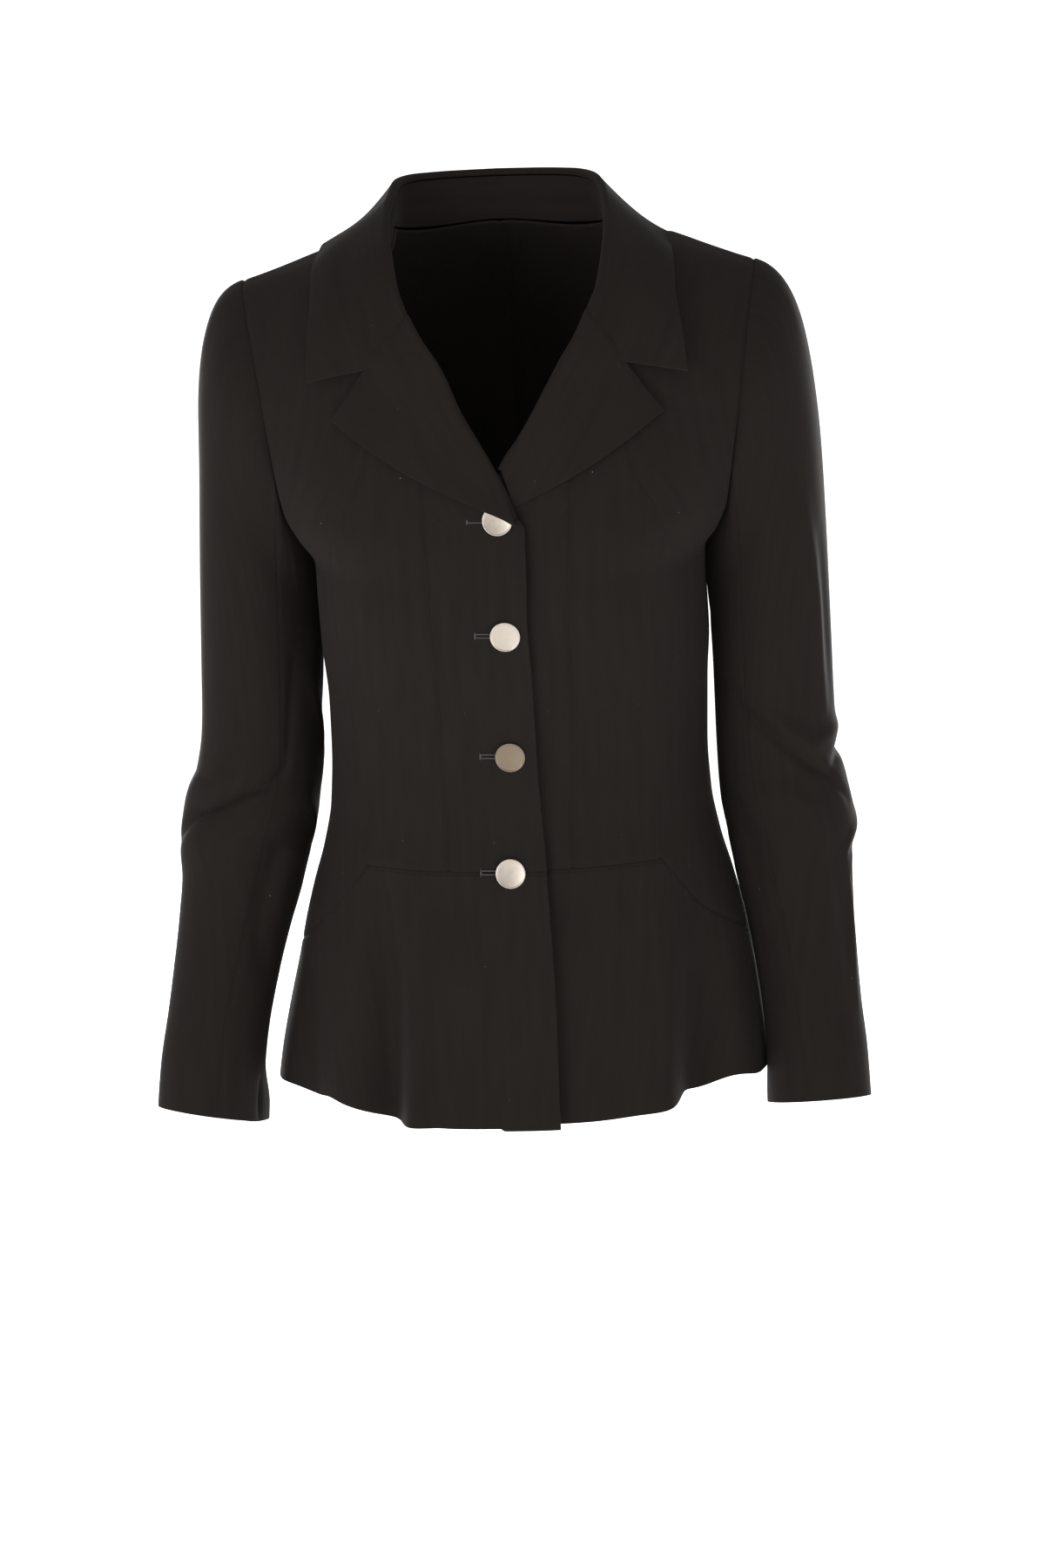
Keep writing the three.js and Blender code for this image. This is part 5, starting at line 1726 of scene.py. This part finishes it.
class JACKET_OT_buttonholes(bpy.types.Operator):
    """Make the corded edges of the buttonholes"""

    bl_idname = "jacket.buttonholes"
    bl_label = "Buttonholes"

    def execute(self, context):
        sizes = context.scene.jacket_buttons
        for i in range(len(BUTTON_PLACES)):
            foot, seat = button_place(i)
            bpy.ops.object.select_all(action="DESELECT")
            bpy.ops.mesh.primitive_torus_add(
                major_segments=48, minor_segments=10, major_radius=BUTTONHOLE["ring"] / 1000,
                minor_radius=sizes.cord,
            )
            loop = bpy.context.object
            loop.name = loop.data.name = f"buttonhole_{i + 1}"
            stretch = (BUTTONHOLE["long"] - BUTTONHOLE["wide"]) / 2000
            bpy.ops.object.mode_set(mode="EDIT")
            bpy.ops.mesh.select_mode(type="VERT")
            for way in (-1, 1):
                bpy.ops.mesh.select_all(action="DESELECT")
                solid = bmesh.from_edit_mesh(loop.data)
                for corner in solid.verts:
                    corner.select = corner.co.x * way > 1e-6
                solid.select_flush(True)
                bmesh.update_edit_mesh(loop.data)
                bpy.ops.transform.translate(value=(stretch * way, 0, 0))
            bpy.ops.object.mode_set(mode="OBJECT")
            bpy.ops.object.select_all(action="DESELECT")
            bpy.ops.mesh.primitive_cylinder_add(
                vertices=12, radius=sizes.cord, depth=BUTTONHOLE["bar"] / 1000,
                location=(-BUTTONHOLE["long"] / 2000, 0, 0), rotation=(math.pi / 2, 0, 0),
            )
            loop.select_set(True)
            context.view_layer.objects.active = loop
            bpy.ops.object.join()
            bpy.ops.object.shade_smooth()
            past = (BUTTONHOLE["past"] - BUTTONHOLE["long"] / 2) / 1000
            place_and_turn(loop, seat + Vector((past, 0, 0)), seat - foot)
            lay_on_front(loop)
            loop.data.materials.append(thread())
            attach(loop, BODY)
        return {"FINISHED"}


def lay_on_front(loop):
    """Moves a buttonhole's edge onto the outer face of the right front."""
    count = len(loop.data.vertices)
    at = np.empty(count * 3)
    loop.data.vertices.foreach_get("co", at)
    at = at.reshape(-1, 3) * 1000
    middle = at.mean(axis=0)
    for k, point in enumerate(at):
        across = -(point[0] - middle_at(point[2]))
        height = point[2] - point[0] * TILT
        outer = on_body(
            RIGHT, FRONT, height, FRONT.distance_at(height, across),
            overlap_lift(RIGHT, height, across),
        )
        at[k, 1] = outer[1] + (point[1] - middle[1]) * BUTTONHOLE["bulge"] - BUTTONHOLE["sink"]
    loop.data.vertices.foreach_set("co", (at / 1000).ravel())
    loop.data.update()


# The lights: name, place and size in metres, and share of the key light's power.
LIGHTS = [
    ("key", (-1.4, -2.4, -0.2), 1.4, 1),
    ("fill", (1.4, -2.0, -0.7), 1.6, 0.5),
    ("left rim", (1.35, 2.6, -0.5), 0.7, 1),
    ("right rim", (-1.35, 2.6, -0.5), 0.7, 0.9),
]
LIT_MIDDLE = Vector((0, 0, -0.3))


class JACKET_OT_stage(bpy.types.Operator):
    """Make the floor, the light and the camera"""

    bl_idname = "jacket.stage"
    bl_label = "Stage"

    def execute(self, context):
        stage = context.scene.jacket_stage
        low = FRAME_BOX[0][2]
        bpy.ops.object.select_all(action="DESELECT")
        bpy.ops.mesh.primitive_plane_add(size=60, location=(0, 0, low - stage.floor_drop))
        floor = context.object
        floor.name = "floor"
        bpy.ops.object.transform_apply(location=True)
        pale = material_once(
            "pale floor", Base_Color=(*stage.floor_colour, 1), Roughness=0.9,
            Specular_IOR_Level=0.1, Emission_Color=(1, 1, 1, 1),
            Emission_Strength=stage.floor_glow,
        )
        floor.data.materials.append(pale)
        world = bpy.data.worlds.new("studio")
        world.use_nodes = True
        sky = world.node_tree.nodes["Background"]
        sky.inputs["Color"].default_value = (1, 0.99, 0.975, 1)
        sky.inputs["Strength"].default_value = stage.surroundings
        context.scene.world = world
        for name, place, size, share in LIGHTS:
            self.light(name, place, size, stage.key * share)
        self.camera(context, stage)
        context.scene.view_settings.view_transform = "Standard"
        return {"FINISHED"}

    def light(self, name, place, size, power):
        lamp = bpy.data.lights.new(name, "AREA")
        lamp.energy = power
        lamp.shape = "DISK"
        lamp.size = size
        lit = bpy.data.objects.new(name, lamp)
        lit.location = place
        aim = LIT_MIDDLE - Vector(place)
        lit.rotation_euler = aim.to_track_quat("-Z", "Y").to_euler()
        bpy.context.collection.objects.link(lit)

    def camera(self, context, stage):
        turn, rise, roll = stage.azimuth, stage.elevation, stage.roll
        back = Vector(
            (math.sin(turn) * math.cos(rise), -math.cos(turn) * math.cos(rise), math.sin(rise))
        )
        right = Vector((math.cos(turn), math.sin(turn), 0))
        up = back.cross(right)
        right, up = (
            right * math.cos(roll) - up * math.sin(roll),
            up * math.cos(roll) + right * math.sin(roll),
        )
        place = Vector((0, 0, stage.target_height)) + back * stage.distance
        place += right * stage.aside
        lens = bpy.data.cameras.new("camera")
        lens.lens = stage.lens
        lens.sensor_width = 36
        lens.clip_end = 100
        camera = bpy.data.objects.new("camera", lens)
        axes = Matrix((right, up, back)).transposed().to_4x4()
        camera.matrix_world = Matrix.Translation(place) @ axes
        context.collection.objects.link(camera)
        context.scene.camera = camera


class JACKET_PT_panel(bpy.types.Panel):
    """Lists the steps that make the jacket"""

    bl_idname = "JACKET_PT_panel"
    bl_label = "Jacket"
    bl_space_type = "VIEW_3D"
    bl_region_type = "UI"
    bl_category = "Jacket"

    def draw(self, context):
        layout = self.layout
        for step in STEPS:
            layout.operator(step.bl_idname)
        for group in ("jacket_cloth", "jacket_buttons", "jacket_stage"):
            settings = getattr(context.scene, group)
            for name in settings.__annotations__:
                layout.prop(settings, name)


STEPS = (
    JACKET_OT_fronts,
    JACKET_OT_basque,
    JACKET_OT_backs,
    JACKET_OT_lapels,
    JACKET_OT_collar,
    JACKET_OT_sleeves,
    JACKET_OT_buttons,
    JACKET_OT_buttonholes,
    JACKET_OT_stage,
)
GROUPS = (JacketCloth, JacketButtons, JacketStage)


def register():
    for part in (*GROUPS, *STEPS, JACKET_PT_panel):
        bpy.utils.register_class(part)
    bpy.types.Scene.jacket_cloth = bpy.props.PointerProperty(type=JacketCloth)
    bpy.types.Scene.jacket_buttons = bpy.props.PointerProperty(type=JacketButtons)
    bpy.types.Scene.jacket_stage = bpy.props.PointerProperty(type=JacketStage)


def unregister():
    del bpy.types.Scene.jacket_stage
    del bpy.types.Scene.jacket_buttons
    del bpy.types.Scene.jacket_cloth
    for part in reversed((*GROUPS, *STEPS, JACKET_PT_panel)):
        bpy.utils.unregister_class(part)


def main():
    """Makes every piece and the stage."""
    register()
    bpy.ops.jacket.fronts()
    bpy.ops.jacket.basque()
    bpy.ops.jacket.backs()
    bpy.ops.jacket.lapels()
    bpy.ops.jacket.collar()
    bpy.ops.jacket.sleeves()
    bpy.ops.jacket.buttons()
    bpy.ops.jacket.buttonholes()
    bpy.ops.jacket.stage()


if __name__ == "__main__":
    main()
